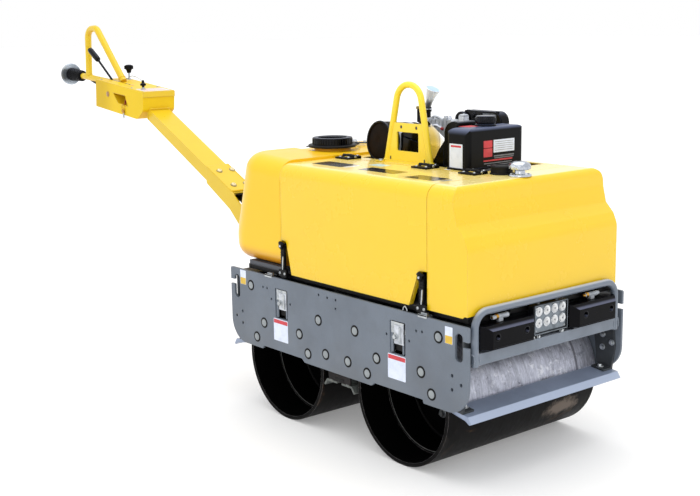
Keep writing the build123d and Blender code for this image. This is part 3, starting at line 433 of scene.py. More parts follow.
def drum_material(name, x_mid, bright_sector_from, bright_sector_to, seam_y):
    """Rolled steel shell: black paint rubbed to streaky bright steel over one sector on the upper side, where it also
    stands in for a painted reflection of the overhead light, with a darker seam ring; the inside of the shell is
    painted near black as shade.
    """
    g = Graph(name)
    x, y, z = g.split()
    dx, dz = g.math("SUBTRACT", x, x_mid), g.math("SUBTRACT", z, 0.2)
    ang = g.math("ARCTAN2", dz, dx)
    rad = g.math("SQRT", g.math("ADD", g.math("MULTIPLY", dx, dx), g.math("MULTIPLY", dz, dz)))
    around = g.node("ShaderNodeCombineXYZ")
    g.put(around.inputs[0], g.math("MULTIPLY", g.math("SINE", ang), 0.2))
    g.put(around.inputs[1], g.math("MULTIPLY", y, 5.5))
    g.put(around.inputs[2], g.math("MULTIPLY", g.math("COSINE", ang), 0.2))
    streak = g.noise(26, 8, 0.72, around.outputs[0], 0.25)
    fine = g.noise(150, 4, 0.7, around.outputs[0])
    wobble = g.math("MULTIPLY", g.math("SUBTRACT", g.noise(7, 5, 0.7), 0.5), 0.5)
    a = g.math("ADD", ang, wobble)
    # Bright sector: bare steel rubbed through the paint, placed on the upper side where it also stands in for a painted
    # reflection of the overhead light.
    wear_and_reflection = g.math("MULTIPLY", g.ramp(a, bright_sector_from - 0.07, bright_sector_from + 0.05), g.ramp(a, bright_sector_to + 0.16, bright_sector_to - 0.1))
    outside = g.ramp(rad, 0.1965, 0.1985)
    wear_and_reflection = g.math("MULTIPLY", wear_and_reflection, outside)
    mottle = g.noise(16, 8, 0.7, distort=0.5)
    steel = g.mix(g.ramp(streak, 0.3, 0.7), lin(158, 161, 176), lin(214, 217, 230))
    steel = g.mix(g.ramp(mottle, 0.46, 0.66, 0.0, 0.7), steel, lin(134, 136, 150))
    steel = g.mix(g.ramp(g.noise(34, 7, 0.72), 0.54, 0.66, 0.0, 0.7), steel, lin(238, 240, 246))
    steel = g.mix(g.ramp(g.noise(60, 6, 0.75), 0.6, 0.68, 0.0, 0.8), steel, lin(74, 72, 82))
    steel = g.mix(g.ramp(fine, 0.62, 0.72, 0.0, 0.5), steel, lin(84, 82, 92))
    steel = g.mix(g.ramp(g.noise(9, 6, 0.7), 0.62, 0.76, 0.0, 0.3), steel, lin(160, 148, 142))
    ring = g.math("ABSOLUTE", g.math("SUBTRACT", g.math("ADD", y, g.math("MULTIPLY", g.math("SUBTRACT", mottle, 0.5), 0.006)), seam_y))
    steel = g.mix(g.ramp(ring, 0.0075, 0.0025, 0.0, 0.7), steel, lin(72, 70, 80))
    black = g.mix(g.ramp(g.noise(11, 6, 0.65), 0.4, 0.7), lin(20, 19, 19), lin(10, 9, 9))
    black = g.mix(g.math("MULTIPLY", outside, g.ramp(streak, 0.52, 0.74, 0.0, 0.3)), black, lin(48, 44, 40))
    # Painted shade: the inside of the shell is painted near black.
    black = g.mix(g.ramp(rad, 0.1945, 0.1905), black, lin(3, 3, 3))
    patch = g.math("MULTIPLY", g.ramp(g.noise(5.2, 6, 0.62, distort=0.8), 0.56, 0.72), g.ramp(g.noise(22, 6, 0.7), 0.42, 0.62, 0.25, 1.0))
    black = g.mix(g.math("MULTIPLY", g.math("MULTIPLY", outside, patch), 0.45), black, lin(110, 98, 88))
    # painted reflection: one pale spot low on the shell
    py = g.math("DIVIDE", g.math("SUBTRACT", y, 0.185), 0.085)
    pz = g.math("DIVIDE", g.math("SUBTRACT", z, 0.112), 0.034)
    far = g.math("SQRT", g.math("ADD", g.math("MULTIPLY", py, py), g.math("MULTIPLY", pz, pz)))
    far = g.math("ADD", far, g.math("MULTIPLY", g.math("SUBTRACT", g.noise(30, 6, 0.7), 0.5), 1.6))
    black = g.mix(g.math("MULTIPLY", outside, g.ramp(far, 1.1, 0.4, 0.0, 0.75)), black, lin(124, 112, 102))
    rust = g.math("MULTIPLY", outside, g.ramp(g.noise(7.5, 6, 0.62, distort=0.8), 0.60, 0.74, 0.0, 0.5))
    black = g.mix(rust, black, lin(92, 68, 46))
    c = g.mix(wear_and_reflection, black, steel)
    e = g.math("MULTIPLY", g.ramp(g.edge(0.0016), 0.03, 0.25), g.ramp(g.noise(30, 5, 0.7), 0.35, 0.6, 0.3, 0.9))
    c = g.mix(e, c, lin(150, 146, 148))
    b = g.bsdf
    g.put(b.inputs["Base Color"], c)
    g.put(b.inputs["Metallic"], g.math("ADD", g.math("MULTIPLY", wear_and_reflection, 0.72), g.math("MULTIPLY", e, 0.25), clamp=True))
    r = g.math("ADD", g.ramp(streak, 0.3, 0.7, 0.36, 0.58, smooth=False), g.math("MULTIPLY", wear_and_reflection, -0.04))
    g.put(b.inputs["Roughness"], r)
    b.inputs["Specular IOR Level"].default_value = 0.05
    bev = g.node("ShaderNodeBevel", {"Radius": 0.0018}, samples=4).outputs[0]
    b1 = g.node("ShaderNodeBump", {"Height": streak, "Distance": 0.00010, "Strength": 1.0, "Normal": bev}).outputs[0]
    b2 = g.node("ShaderNodeBump", {"Height": fine, "Distance": 0.00008, "Strength": 1.0, "Normal": b1}).outputs[0]
    g.put(b.inputs["Normal"], b2)
    return g.mat


M["drum_front"] = drum_material("drum_steel_front", MX + 0.286, radians(4), radians(118), 0.237)
M["drum_rear"] = drum_material("drum_steel_rear", MX - 0.286, radians(58), radians(150), -0.237)

NODE_LOOK = {
    "side_plate_right": "grey", "side_plate_left": "grey", "cross_members": "grey_dark", "rubber_mounts": "rubber", "mount_locks": "zinc",
    "front_drum_shell": "drum_front", "rear_drum_shell": "drum_rear", "front_drum_webs": "pit", "rear_drum_webs": "pit",
    "axle_carriers": "pit", "drum_scrapers": "blade", "scraper_brackets": "grey_dark", "inner_scrapers": "inner_blade",
    "front_bumper": "grey_blue", "bumper_blocks": "bumper", "work_light": "lamp", "spray_fittings": "nozzle_white", "bed_plate": "tray",
    "water_tank": "tank", "tank_cap": "gloss_black", "front_hood": "yellow", "hood_deck": "yellow", "right_door": "yellow", "left_door": "yellow",
    "door_hinges": "black_steel", "door_latches": "rubber", "lifting_eye": "eye_yellow", "engine_block": "black_steel", "cylinder_head": "cast",
    "fan_housing": "plastic", "fuel_tank": "fuel", "air_cleaner": "plastic", "muffler": "brown", "muffler_cone": "bright",
    "exhaust_pipe": "tail", "oil_filler": "chrome", "deck_grommet": "rubber", "drawbar_hitch": "black_steel", "drawbar_neck": "yellow_bar",
    "drawbar_beam": "yellow_bar", "control_box": "yellow_box", "drawbar_handle": "yellow_bar", "stop_button": "plastic",
    "travel_lever": "plastic", "control_knobs": "plastic",
}
for n, o in NODES.items():
    o.data.materials.clear()
    o.data.materials.append(M[NODE_LOOK[n]])


# ------------------------------------------------------------------ mesh builder, millimetres
def at(p, n=(0, 0, 1), spin=0.0, up=None):
    """Frame at p whose local Z points along n; with up, local Y follows it."""
    z = Vector(n).normalized()
    if up is not None:
        y = Vector(up)
        y = (y - z * y.dot(z)).normalized()
        x = y.cross(z)
        m = Matrix((x, y, z)).transposed().to_4x4()
    else:
        m = z.to_track_quat("Z", "Y").to_matrix().to_4x4()
    return Matrix.Translation(Vector(p)) @ m @ Matrix.Rotation(radians(spin), 4, "Z")


class Build:
    def __init__(self):
        self.bm = bmesh.new()
        self.mats = []

    def mi(self, mat):
        m = M[mat]
        if m not in self.mats:
            self.mats.append(m)
        return self.mats.index(m)

    def faces(self, verts, faces, mat, m=None):
        m = m or Matrix.Identity(4)
        vs = [self.bm.verts.new(m @ Vector(v)) for v in verts]
        i = self.mi(mat)
        out = []
        for f in faces:
            try:
                fc = self.bm.faces.new([vs[k] for k in f])
            except ValueError:
                continue
            fc.material_index = i
            fc.smooth = True
            out.append(fc)
        return vs, out

    def lathe(self, prof, m, mat, seg=28, turn=2 * pi):
        """Rows of radius, height about local Z, in order along the outline."""
        verts, faces, rings = [], [], []
        for r, h in prof:
            if r < 1e-6:
                rings.append([len(verts)])
                verts.append((0, 0, h))
            else:
                rings.append(list(range(len(verts), len(verts) + seg)))
                verts += [(r * cos(turn * k / seg), r * sin(turn * k / seg), h) for k in range(seg)]
        for a, b in zip(rings, rings[1:]):
            for k in range(seg):
                j = (k + 1) % seg
                if len(a) == 1 and len(b) == 1:
                    break
                if len(a) == 1:
                    faces.append((a[0], b[k], b[j]))
                elif len(b) == 1:
                    faces.append((a[k], a[j], b[0]))
                else:
                    faces.append((a[k], a[j], b[j], b[k]))
        return self.faces(verts, faces, mat, m)

    def prism(self, pts, h0, h1, m, mat, bev=0.0, seg=2):
        n = len(pts)
        verts = [(x, y, h0) for x, y in pts] + [(x, y, h1) for x, y in pts]
        faces = [tuple(range(n))[::-1], tuple(range(n, 2 * n))] + [(k, (k + 1) % n, n + (k + 1) % n, n + k) for k in range(n)]
        vs, fs = self.faces(verts, faces, mat, m)
        if bev:
            edges = {e for f in fs for e in f.edges}
            bmesh.ops.bevel(self.bm, geom=list(edges), offset=bev, segments=seg, affect="EDGES", clamp_overlap=True, material=-1)
        return fs

    def box(self, x0, x1, y0, y1, z0, z1, mat, bev=0.8, m=None, seg=2):
        return self.prism([(x0, y0), (x1, y0), (x1, y1), (x0, y1)], z0, z1, m or Matrix.Identity(4), mat, bev, seg)

    def rounded(self, w, h, r, t, m, mat, z0=0.0, n=5, bev=0.0):
        pts = []
        for cx, cy, a0 in ((w / 2 - r, h / 2 - r, 0), (-w / 2 + r, h / 2 - r, 90), (-w / 2 + r, -h / 2 + r, 180), (w / 2 - r, -h / 2 + r, 270)):
            pts += [(cx + r * cos(radians(a0 + 90 * k / n)), cy + r * sin(radians(a0 + 90 * k / n))) for k in range(n + 1)]
        return self.prism(pts, z0, z0 + t, m, mat, bev)

    def hexbolt(self, m, af, h, mat="zinc", washer=None, wt=2.0, wmat=None):
        z0 = 0.0
        if washer:
            self.lathe([(0, 0), (washer, 0), (washer, wt * 0.7), (washer - wt * 0.3, wt), (0, wt)], m, wmat or mat, 24)
            z0 = wt
        r = af / 2 / cos(pi / 6)
        ring = [(r * cos(pi / 3 * k), r * sin(pi / 3 * k)) for k in range(6)]
        verts = [(x, y, z0) for x, y in ring] + [(x, y, z0 + h * 0.78) for x, y in ring] + [(x * 0.88, y * 0.88, z0 + h) for x, y in ring]
        faces = [(5, 4, 3, 2, 1, 0)] + [(k, (k + 1) % 6, 6 + (k + 1) % 6, 6 + k) for k in range(6)]
        faces += [(6 + k, 6 + (k + 1) % 6, 12 + (k + 1) % 6, 12 + k) for k in range(6)] + [(12, 13, 14, 15, 16, 17)]
        self.faces(verts, faces, mat, m)

    def button(self, m, r, h, mat="zinc", socket=True):
        if socket:
            self.lathe([(r, 0), (r, h * 0.45), (r * 0.86, h * 0.8), (r * 0.55, h), (r * 0.42, h), (r * 0.40, h * 0.35), (0, h * 0.35)], m, mat, 20)
        else:
            self.lathe([(r, 0), (r, h * 0.4), (r * 0.9, h * 0.75), (r * 0.6, h * 0.95), (0, h)], m, mat, 20)

    def tube(self, pts, r, mat, seg=12, smooth=0, cap=True, radii=None):
        P = [Vector(p) for p in pts]
        if smooth:
            Q = []
            for i in range(len(P) - 1):
                p0, p1, p2, p3 = P[max(i - 1, 0)], P[i], P[i + 1], P[min(i + 2, len(P) - 1)]
                for k in range(smooth):
                    t = k / smooth
                    Q.append(0.5 * ((2 * p1) + (p2 - p0) * t + (2 * p0 - 5 * p1 + 4 * p2 - p3) * t * t + (3 * p1 - p0 - 3 * p2 + p3) * t ** 3))
            Q.append(P[-1])
            P = Q
        n = len(P)
        rr = radii if radii and len(radii) == n else [r(i / (n - 1)) if callable(r) else r for i in range(n)]
        d0 = (P[1] - P[0]).normalized()
        u = d0.orthogonal().normalized()
        rings = []
        verts = []
        prev = d0
        for i, p in enumerate(P):
            d = (P[min(i + 1, n - 1)] - P[max(i - 1, 0)]).normalized()
            q = prev.rotation_difference(d)
            u = (q @ u)
            u = (u - d * u.dot(d)).normalized()
            prev = d
            w = d.cross(u)
            rings.append(list(range(len(verts), len(verts) + seg)))
            verts += [tuple(p + (u * cos(2 * pi * k / seg) + w * sin(2 * pi * k / seg)) * rr[i]) for k in range(seg)]
        faces = []
        for a, b in zip(rings, rings[1:]):
            faces += [(a[k], a[(k + 1) % seg], b[(k + 1) % seg], b[k]) for k in range(seg)]
        if cap:
            faces += [tuple(reversed(rings[0])), tuple(rings[-1])]
        return self.faces(verts, faces, mat)

    def weld(self, pts, r, mat, step=3.2, closed=False):
        """A weld bead: a lumpy tube along a path."""
        P = [Vector(p) for p in pts] + ([Vector(pts[0])] if closed else [])
        out = []
        for a, b in zip(P, P[1:]):
            k = max(1, int((b - a).length / step))
            out += [a.lerp(b, i / k) for i in range(k)]
        out.append(P[-1])
        if len(out) < 2:
            return
        rad = [r * (0.86 + 0.20 * (i % 2) + 0.12 * noise.noise(p * 0.11)) for i, p in enumerate(out)]
        self.tube(out, r, mat, seg=7, radii=rad)

    def sticker(self, m, w, h, mat, r=2.5, t=0.3, z0=0.0):
        self.rounded(w, h, r, t, m, mat, z0=z0, n=3)

    def done(self, name, body, sharp=38.0):
        bm = self.bm
        bmesh.ops.recalc_face_normals(bm, faces=bm.faces)
        for v in bm.verts:
            v.co = place(v.co)
        for f in bm.faces:
            f.smooth = True
        for e in bm.edges:
            if len(e.link_faces) == 2 and e.calc_face_angle(0.0) > radians(sharp):
                e.smooth = False
        me = bpy.data.meshes.new(name)
        bm.to_mesh(me)
        bm.free()
        for m in self.mats:
            me.materials.append(m)
        o = bpy.data.objects.new(name, me)
        scene.collection.objects.link(o)
        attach(o, body)
        return o


SIDES = ((-1, "right"), (1, "left"))

# ------------------------------------------------------------------ side plates
PLUGS = [(458, 432), (386, 314), (430, 257), (191, 313), (90, 378), (147, 256), (55, 273)]
for s, tag in SIDES:
    b = Build()
    for x, z in PLUGS:
        for sx in (-1, 1):
            m = at((sx * x, s * 339, z), (0, s, 0))
            b.lathe([(18.2, 0), (18.2, 0.5), (17.4, 1.0), (12.6, 1.0), (12.2, 0.4), (12.2, 0)], m, "black_steel", 36)
            b.lathe([(12.1, 0), (12.1, 1.2), (11.2, 1.9), (0, 2.0)], m, "plug", 32)
    b.done(f"plate_plugs_{tag}", "root")
    b = Build()
    # plain rectangular labels, nothing printed on them
    for x0, x1, z0, z1 in ((243, 321, 267, 342), (-331, -253, 267, 342)):
        m = at(((x0 + x1) / 2, s * 339, (z0 + z1) / 2), (0, s, 0), up=(0, 0, 1))
        b.sticker(m, x1 - x0, z1 - z0, "white")
        b.sticker(m @ Matrix.Translation((0, (z1 - z0) / 2 - 9, 0)), x1 - x0 - 3, 13, "red", r=1.2, z0=0.3, t=0.15)
    for x0, x1, z0, z1 in ((485, 515, 421, 470), (-520, -487, 428, 477)):
        m = at(((x0 + x1) / 2, s * 339, (z0 + z1) / 2), (0, s, 0), up=(0, 0, 1))
        b.sticker(m, x1 - x0, z1 - z0, "white", r=1.5)
        b.sticker(m @ Matrix.Translation((0, -(z1 - z0) / 4 - 0.5, 0)), x1 - x0 - 2, (z1 - z0) / 2 - 2, "amber", r=1.0, z0=0.3, t=0.15)
    b.done(f"plate_labels_{tag}", "root")
    b = Build()
    # transport lock hardware in each window
    for sx in (-1, 1):
        x = sx * 285
        y = s * 338
        m = at((x, y, 400), (0, s, 0), up=(0, 0, 1))
        b.box(-14, 27, -24, 34, -3, 1.2, "cast", 0.7, m)
        b.box(-27, -15, -20, 12, -5, -1.6, "inner_blade", 0.7, m)
        b.box(-27, 27, 35, 43, -9, -4, "black_steel", 0.6, m)
        b.box(-26, -16, 14, 33, -9, -5, "black_steel", 0.6, m)
        b.box(-27, -20, -52, 40, -5, -1, "grey", 0.6, m)
        b.box(-33, -27, -54, 44, -7, -1.5, "grey", 0.6, m)
        b.box(20, 27, -52, 40, -5, -1, "grey", 0.6, m)
        b.hexbolt(m @ Matrix.Translation((-6, -2, 1.2)), 13, 7, "zinc", washer=11, wt=1.6)
        b.box(8, 17, -20, 30, 1.2, 3.4, "zinc", 0.6, m)
        b.box(-12, 10, 22, 33, 1.2, 2.6, "cast", 0.4, m)
        b.box(-20, 20, -46, -28, -11, -8, "black_steel", 0.6, m)
    b.done(f"lock_hardware_{tag}", "root")
    b = Build()
    # bolts of the scraper arms
    for x, z in ((513.2, 331.5), (548.7, 311), (513.2, 290.5)):
        for sx in (-1, 1):
            b.hexbolt(at((sx * x, s * 323, z), (0, -s, 0), spin=13), 12, 6, "zinc", washer=10, wt=1.5)
    b.done(f"scraper_arm_bolts_{tag}", "root")
    b = Build()
    # spring clips hooked over the plate's top edge
    for x0, x1, lean in ((-374, -334, 0), (375, 412, 6)):
        b.box(x0, x1, s * 339.2 if s > 0 else -341.0, 341.0 if s > 0 else -339.2, 476, 485, "zinc", 0.5)
        y0, y1 = sorted((s * 341.0, s * 318))
        b.box(x0, x1, y0, y1, 480.4, 485.6, "zinc", 0.8)
        b.box(x0 + 6, x1 - 6, *sorted((s * 324, s * 334)), 485.6, 490, "zinc", 0.8)
    b.tube([(304, s * 333, 481), (307, s * 333, 490), (313, s * 333, 494), (318, s * 331, 487), (320, s * 331, 481)], 1.8, "zinc", 10, smooth=5)
    b.done(f"plate_clips_{tag}", "root")

# ------------------------------------------------------------------ front bumper, lamp and nozzles
b = Build()
for s in (-1, 1):
    for yy in (-1, 1):
        y = s * 305 + yy * 10.5
        b.weld([(566, y, 367), (575, y, 370), (577, y, 382), (575, y, 395), (566, y, 398)], 2.6, "grey_blue")
    for y in (212, 120, 64):
        b.hexbolt(at((566, s * y, 399), (0, 0, 1), spin=20), 11, 5, "zinc", washer=9, wt=1.2)
    for yh, zh in ((248, 443), (129, 444)):
        m = at((588.4, s * yh, zh), (1, 0, 0))
        b.lathe([(8.8, 0), (8.8, 2), (5.6, 4.5), (4.2, 4.5), (4.2, 1.5), (0, 1.5)], m, "black_steel", 24)
        b.lathe([(9.0, 12.8), (11.4, 13.2), (11.8, 13.6), (11.4, 13.9), (9.2, 13.9), (8.8, 13.4)], m, "rubber", 28)
    # rubber block seams
    b.tube([(602.2, s * 104, 413), (602.2, s * 264, 413)], 0.9, "rubber", 8)
b.done("bumper_fastenings", "root")

b = Build()
b.rounded(137, 77, 4, 1.4, at((573.6, 0, 454), (1, 0, 0), up=(0, 0, 1)), "lamp_face")
for iy in range(4):
    for iz in range(2):
        y, z = (iy - 1.5) * 34, 461 + (iz - 0.5) * 34
        m = at((575, y, z), (1, 0, 0))
        b.lathe([(14.6, 0), (14.6, 2.0), (13.8, 2.6), (12.8, 2.4), (8.8, 0.6), (5.2, 0.2), (0, 0.2)], m, "reflector", 28)
        b.lathe([(9.6, 0.8), (9.0, 1.9), (6.8, 2.8), (3.6, 3.3), (0, 3.4)], m, "lens", 24)
        b.lathe([(3.4, 3.1), (2.8, 3.5), (0, 3.6)], m, "print", 16)
b.tube([(578.6, -71, 412), (578.6, 71, 412), (578.6, 71, 496), (578.6, -71, 496), (578.6, -71, 412)], 1.8, "lamp_face", 8)
for y in (-62, 62):
    for z in (421, 488):
        b.button(at((575, y, z), (1, 0, 0)), 3.0, 2.0, "zinc")
for y in (-50, 50):
    b.box(560, 572, y - 7, y + 7, 401, 409, "lamp", 0.8)
    b.hexbolt(at((574, y, 404), (1, 0, 0)), 8, 4, "zinc", washer=6.5, wt=1)
for s in (-1, 1):
    b.lathe([(0, 0), (5, 0), (5, 2), (4, 3.2), (0, 3.2)], at((562, s * 40, 499), (0, 0, 1)), "zinc", 16)
b.done("work_light_lenses", "root")

b = Build()
for s in (-1, 1):
    y0 = s * 196
    m = at((562, y0 - 14, 489), (0, -1, 0))
    b.hexbolt(m, 15, 8, "brass")
    b.lathe([(5.5, 8), (5.5, 15), (4.6, 16), (4.6, 22), (2.2, 23), (0, 23)], m, "brass", 20)
    m = at((562, y0 - 13, 489), (0, 1, 0))
    b.lathe([(7.4, 0), (7.6, 6), (6.6, 7), (6.6, 32), (7.8, 33), (7.8, 40), (0, 40)], m, "nozzle_white", 22)
    for k in range(4):
        b.lathe([(6.8, 9 + k * 5.5), (7.4, 9.8 + k * 5.5), (7.4, 11.2 + k * 5.5), (6.8, 12 + k * 5.5)], m, "nozzle_white", 22)
    b.tube([(562, y0 + 26, 489), (560, y0 + 36, 490), (553, y0 + 44, 493), (545, y0 + 48, 492)], 4.6, "rubber", 12, smooth=6)
b.done("spray_nozzles", "root")

# scraper blades: clamp bolts along the inner edge and a worn lip
b = Build()
for sx in (-1, 1):
    for y in (-300, 300):
        b.hexbolt(at((sx * 524, y, 232.5), (sx * -0.11, 0, 1), spin=10), 13, 7, "zinc", washer=12, wt=1.8)
        b.tube([(sx * 524, y, 216), (sx * 524, y, 207)], 4.2, "zinc", 14)
    for y in (-330.7, 330.7):
        b.tube([(sx * 496, y, 221.6), (sx * 557, y, 209.6), (sx * 574, y, 200.2)], 1.0, "blade", 8)
b.done("scraper_bolts", "root")

b = Build()
# brackets that hang the two inner blades from the frame
for s in (-1, 1):
    y0, y1 = sorted((s * 330.9, s * 324))
    m = Matrix(((1, 0, 0, 0), (0, 0, -1, y1), (0, 1, 0, 0), (0, 0, 0, 1)))
    b.prism([(-56, 246), (58, 246), (54, 193), (-52, 193)], 0, y1 - y0, m, "carrier_brown", 1.0)
    b.box(-20, 22, y0 - (1.4 if s < 0 else -5.5), y1 + (1.4 if s > 0 else -5.5), 197, 206, "black_steel", 0.4)
b.box(-32, 32, -322, 322, 194, 240, "carrier_brown", 1.4)
for sx in (-1, 1):
    b.weld([(sx * 47.5, -320, 192.5), (sx * 47.5, 320, 192.5)], 2.4, "inner_blade")
b.done("inner_scraper_carriers", "root")

# ------------------------------------------------------------------ drums
for n, x in (("front_drum", 286), ("rear_drum", -286)):
    b = Build()
    for s in (-1, 1):
        m = at((x, s * 215, 200), (0, s, 0))
        b.lathe([(181.0, -0.7), (180.5, 0.1), (181.2, 0.6), (182.2, 0.5), (182.2, -0.4)], m, "inner_blade", 96)
        m = at((x, s * 115, 200), (0, s, 0))
        pts = [(x + 178 * cos(2 * pi * k / 64), s * 117, 200 + 178 * sin(2 * pi * k / 64)) for k in range(64)]
        b.weld(pts, 4.2, "black_steel", step=6, closed=True)
        pts = [(x + 63.5 * cos(2 * pi * k / 32), s * 117, 200 + 63.5 * sin(2 * pi * k / 32)) for k in range(32)]
        b.weld(pts, 3.2, "black_steel", step=5, closed=True)
        for k in range(8):
            a = 2 * pi * (k + 0.5) / 8
            b.hexbolt(at((x + 104 * cos(a), s * 115, 200 + 104 * sin(a)), (0, s, 0), spin=k * 17), 17, 9, "zinc", washer=15, wt=2.4)
        for k in range(6):
            a = 2 * pi * k / 6 + 0.3
            b.hexbolt(at((x + 49 * cos(a), s * 137, 200 + 49 * sin(a)), (0, s, 0), spin=k * 11), 10, 5, "zinc")
    b.done(f"{n}_fastenings", n)

# ------------------------------------------------------------------ water tank
b = Build()
cx = -425
for k in range(44):
    a = 2 * pi * k / 44
    m = Matrix.Translation((cx + 68.6 * cos(a), 68.6 * sin(a), 0)) @ Matrix.Rotation(a, 4, "Z")
    b.box(-1.2, 1.7, -1.5, 1.5, 884, 909.5, "plastic", 0.6, m, seg=1)
m = at((cx, 0, 0))
b.lathe([(70.4, 879.4), (82.6, 879.8), (84.6, 881.6), (84.6, 886.4), (82.6, 888.4), (74, 889.0), (70.6, 889.6), (69, 889.6)], m, "rubber", 72)
b.lathe([(69.2, 909.4), (69.6, 911.4), (67.6, 913.0), (52.6, 913.2), (50.6, 912.2), (50.2, 909)], m, "plastic", 64)
b.lathe([(49.6, 907.2), (47, 908.4), (30, 909.4), (0, 909.8)], m, "ink", 48)
b.box(-44, 44, -6, 6, 909, 914.5, "plastic", 2.2, m @ Matrix.Rotation(radians(35), 4, "Z"))
b.done("cap_grip", "root")

b = Build()
for z in (869.5, 873.2, 876.9):
    b.lathe([(62.4, z - 1.3), (63.8, z), (62.4, z + 1.3)], at((cx, 0, 0)), "tank", 64)
b.lathe([(74, 865.6), (70, 867.4), (64, 868.4), (62.2, 870)], at((cx, 0, 0)), "tank", 64)
b.done("neck_thread", "root")

b = Build()
# vent fitting and retaining strap beyond the cap
m = at((-446, 136, 879.5), (0, 0, 1), spin=41)
b.rounded(70, 20, 6, 4, m, "plastic", bev=1.0)
b.lathe([(10, 4), (10, 8), (8, 10), (8, 13), (6.4, 14), (0, 14)], m @ Matrix.Translation((14, 0, 0)), "chrome", 24)
b.hexbolt(m @ Matrix.Translation((-22, 0, 4)), 9, 5, "zinc", washer=7.5, wt=1.2)
b.tube([(-425 + 66, 22, 884), (-390, 88, 886), (-424, 122, 885)], 3.0, "rubber", 10, smooth=8)
b.done("tank_vent", "root")

b = Build()
# drain plug and two bolts
b.lathe([(0, 0), (15, 0), (15, 5), (13, 7), (7, 7), (7, 14), (5.5, 15), (0, 15)], at((-590, -150, 560), (-1, 0, 0)), "plastic", 28)
for y in (-70, 70):
    b.hexbolt(at((-505, y, 512), (-1, 0, 0)), 13, 7, "zinc", washer=12, wt=2)
b.done("tank_drain", "root")

# hems that close the seams between the doors and the fixed panels
def shell_strip(b, x0, x1, mat, z_top, y_half, r, z_bot, thick=4.0, left=True, deck_from=None):
    """A strip of the body's outer skin between two stations."""
    n = 8
    sec = [(-y_half, z_bot)]
    sec += [(-y_half + r - r * cos(pi / 2 * k / n), z_top - r + r * sin(pi / 2 * k / n)) for k in range(n + 1)]
    sec += [(y_half - r + r * sin(pi / 2 * k / n), z_top - r + r * cos(pi / 2 * k / n)) for k in range(n + 1)]
    sec += [(y_half, z_bot)]
    yi, zi, ri = y_half - thick, z_top - thick, r - thick
    ins = [(-yi, z_bot)]
    ins += [(-yi + ri - ri * cos(pi / 2 * k / n), zi - ri + ri * sin(pi / 2 * k / n)) for k in range(n + 1)]
    ins += [(yi - ri + ri * sin(pi / 2 * k / n), zi - ri + ri * cos(pi / 2 * k / n)) for k in range(n + 1)]
    ins += [(yi, z_bot)]
    k = len(sec)
    verts = [(x0, *p) for p in sec] + [(x1, *p) for p in sec] + [(x0, *p) for p in ins] + [(x1, *p) for p in ins]
    faces = []
    for i in range(k - 1):
        faces += [(i, i + 1, k + i + 1, k + i), (2 * k + i, 3 * k + i, 3 * k + i + 1, 2 * k + i + 1)]
        faces += [(i, 2 * k + i, 2 * k + i + 1, i + 1), (k + i, k + i + 1, 3 * k + i + 1, 3 * k + i)]
    faces += [(0, k, 3 * k, 2 * k), (k - 1, 3 * k - 1, 4 * k - 1, 2 * k - 1)]
    b.faces(verts, faces, mat)


b = Build()
shell_strip(b, 395.4, 399.6, "yellow", 856.6, 322.6, 42, 497)
b.done("hood_rear_hem", "root")
b = Build()
shell_strip(b, -301.6, -297.2, "yellow", 856.6, 322.6, 42, 604)
b.done("tank_front_hem", "root")

# ------------------------------------------------------------------ doors and deck
HINGE_X = (-258, 117, 324)
b = Build()
for x in HINGE_X:
    b.box(x - 34.5, x + 34.5, -96.5, -69.2, 857.2, 862.9, "black_steel", 0.8)
    b.lathe([(7.5, -11.2), (7.8, -10.2), (7.8, 10.2), (7.5, 11.2), (0, 11.2)], at((x, -62, 864), (1, 0, 0)), "black_steel", 24)
    for dx in (-22, 22):
        b.button(at((x + dx, -84, 862.9)), 4.4, 2.6, "zinc")
b.done("right_door_hinge_leaves", "right_door")
b = Build()
for x in HINGE_X:
    b.box(x - 34.5, x + 34.5, 322.9, 328.9, 759, 782.2, "black_steel", 0.8)
    for dx in (-22, 22):
        b.button(at((x + dx, 328.9, 769), (0, 1, 0)), 5.6, 3.4, "chrome")
b.done("left_door_hinge_leaves", "left_door")
b = Build()
for x in HINGE_X:
    # cover plate that closes the leaf towards the knuckles
    b.box(x - 33, x - 13.5, -54, -37.6, 857.2, 866.5, "black_steel", 1.0)
    b.box(x + 13.5, x + 33, -54, -37.6, 857.2, 866.5, "black_steel", 1.0)
    b.box(x - 14.5, x + 14.5, -52, -38.4, 857.2, 863.5, "black_steel", 0.8)
    for dx in (-22, 22):
        b.button(at((x + dx, -45, 866.5)), 4.4, 2.6, "zinc")
        b.button(at((x + dx, 328, 805.5), (0, 1, 0)), 5.4, 3.4, "chrome")
    for e in (-30.4, 30.4):
        b.lathe([(4.6, 0), (4.6, 1.5), (3.2, 3), (0, 3.2)], at((x + e, -62, 864), (1 if e > 0 else -1, 0, 0)), "zinc", 16)
b.done("hinge_screws", "root")

# folded edges of the doors beside the prop stays
for side, name in SIDES:
    b = Build()
    m = Matrix(((1, 0, 0, 0), (0, 0, -1, 318.4 if side > 0 else -305), (0, 1, 0, 0), (0, 0, 0, 1)))
    b.prism([(316, 497.5), (318.4, 497.5), (362.2, 604), (359.8, 604)], 0, 13.4, m, "yellow", 0.5)
    b.prism([(-246, 497.5), (-248.4, 497.5), (-275, 603), (-272.6, 603)], 0, 13.4, m, "yellow", 0.5)
    b.done(f"{name}_door_folds", f"{name}_door")

b = Build()
# plain labels on the door's top skin
for x0, x1, y0, y1, mat in ((-238, -92, -238, -164, "ink"), (-10, 156, -236, -172, "ink"), (230, 356, -260, -194, "ink"), (-70, -6, -140, -98, "cyan")):
    b.sticker(at(((x0 + x1) / 2, (y0 + y1) / 2, 857)), x1 - x0, y1 - y0, mat, r=3)
b.sticker(at((-79, -200, 857)), 12, 60, "white", r=2)
b.sticker(at((372, -224, 857)), 16, 40, "print", r=2)
b.done("door_top_labels", "right_door")
b = Build()
b.sticker(at((196, -48, 857), spin=0), 24, 8, "white", r=2)
b.done("deck_label", "root")

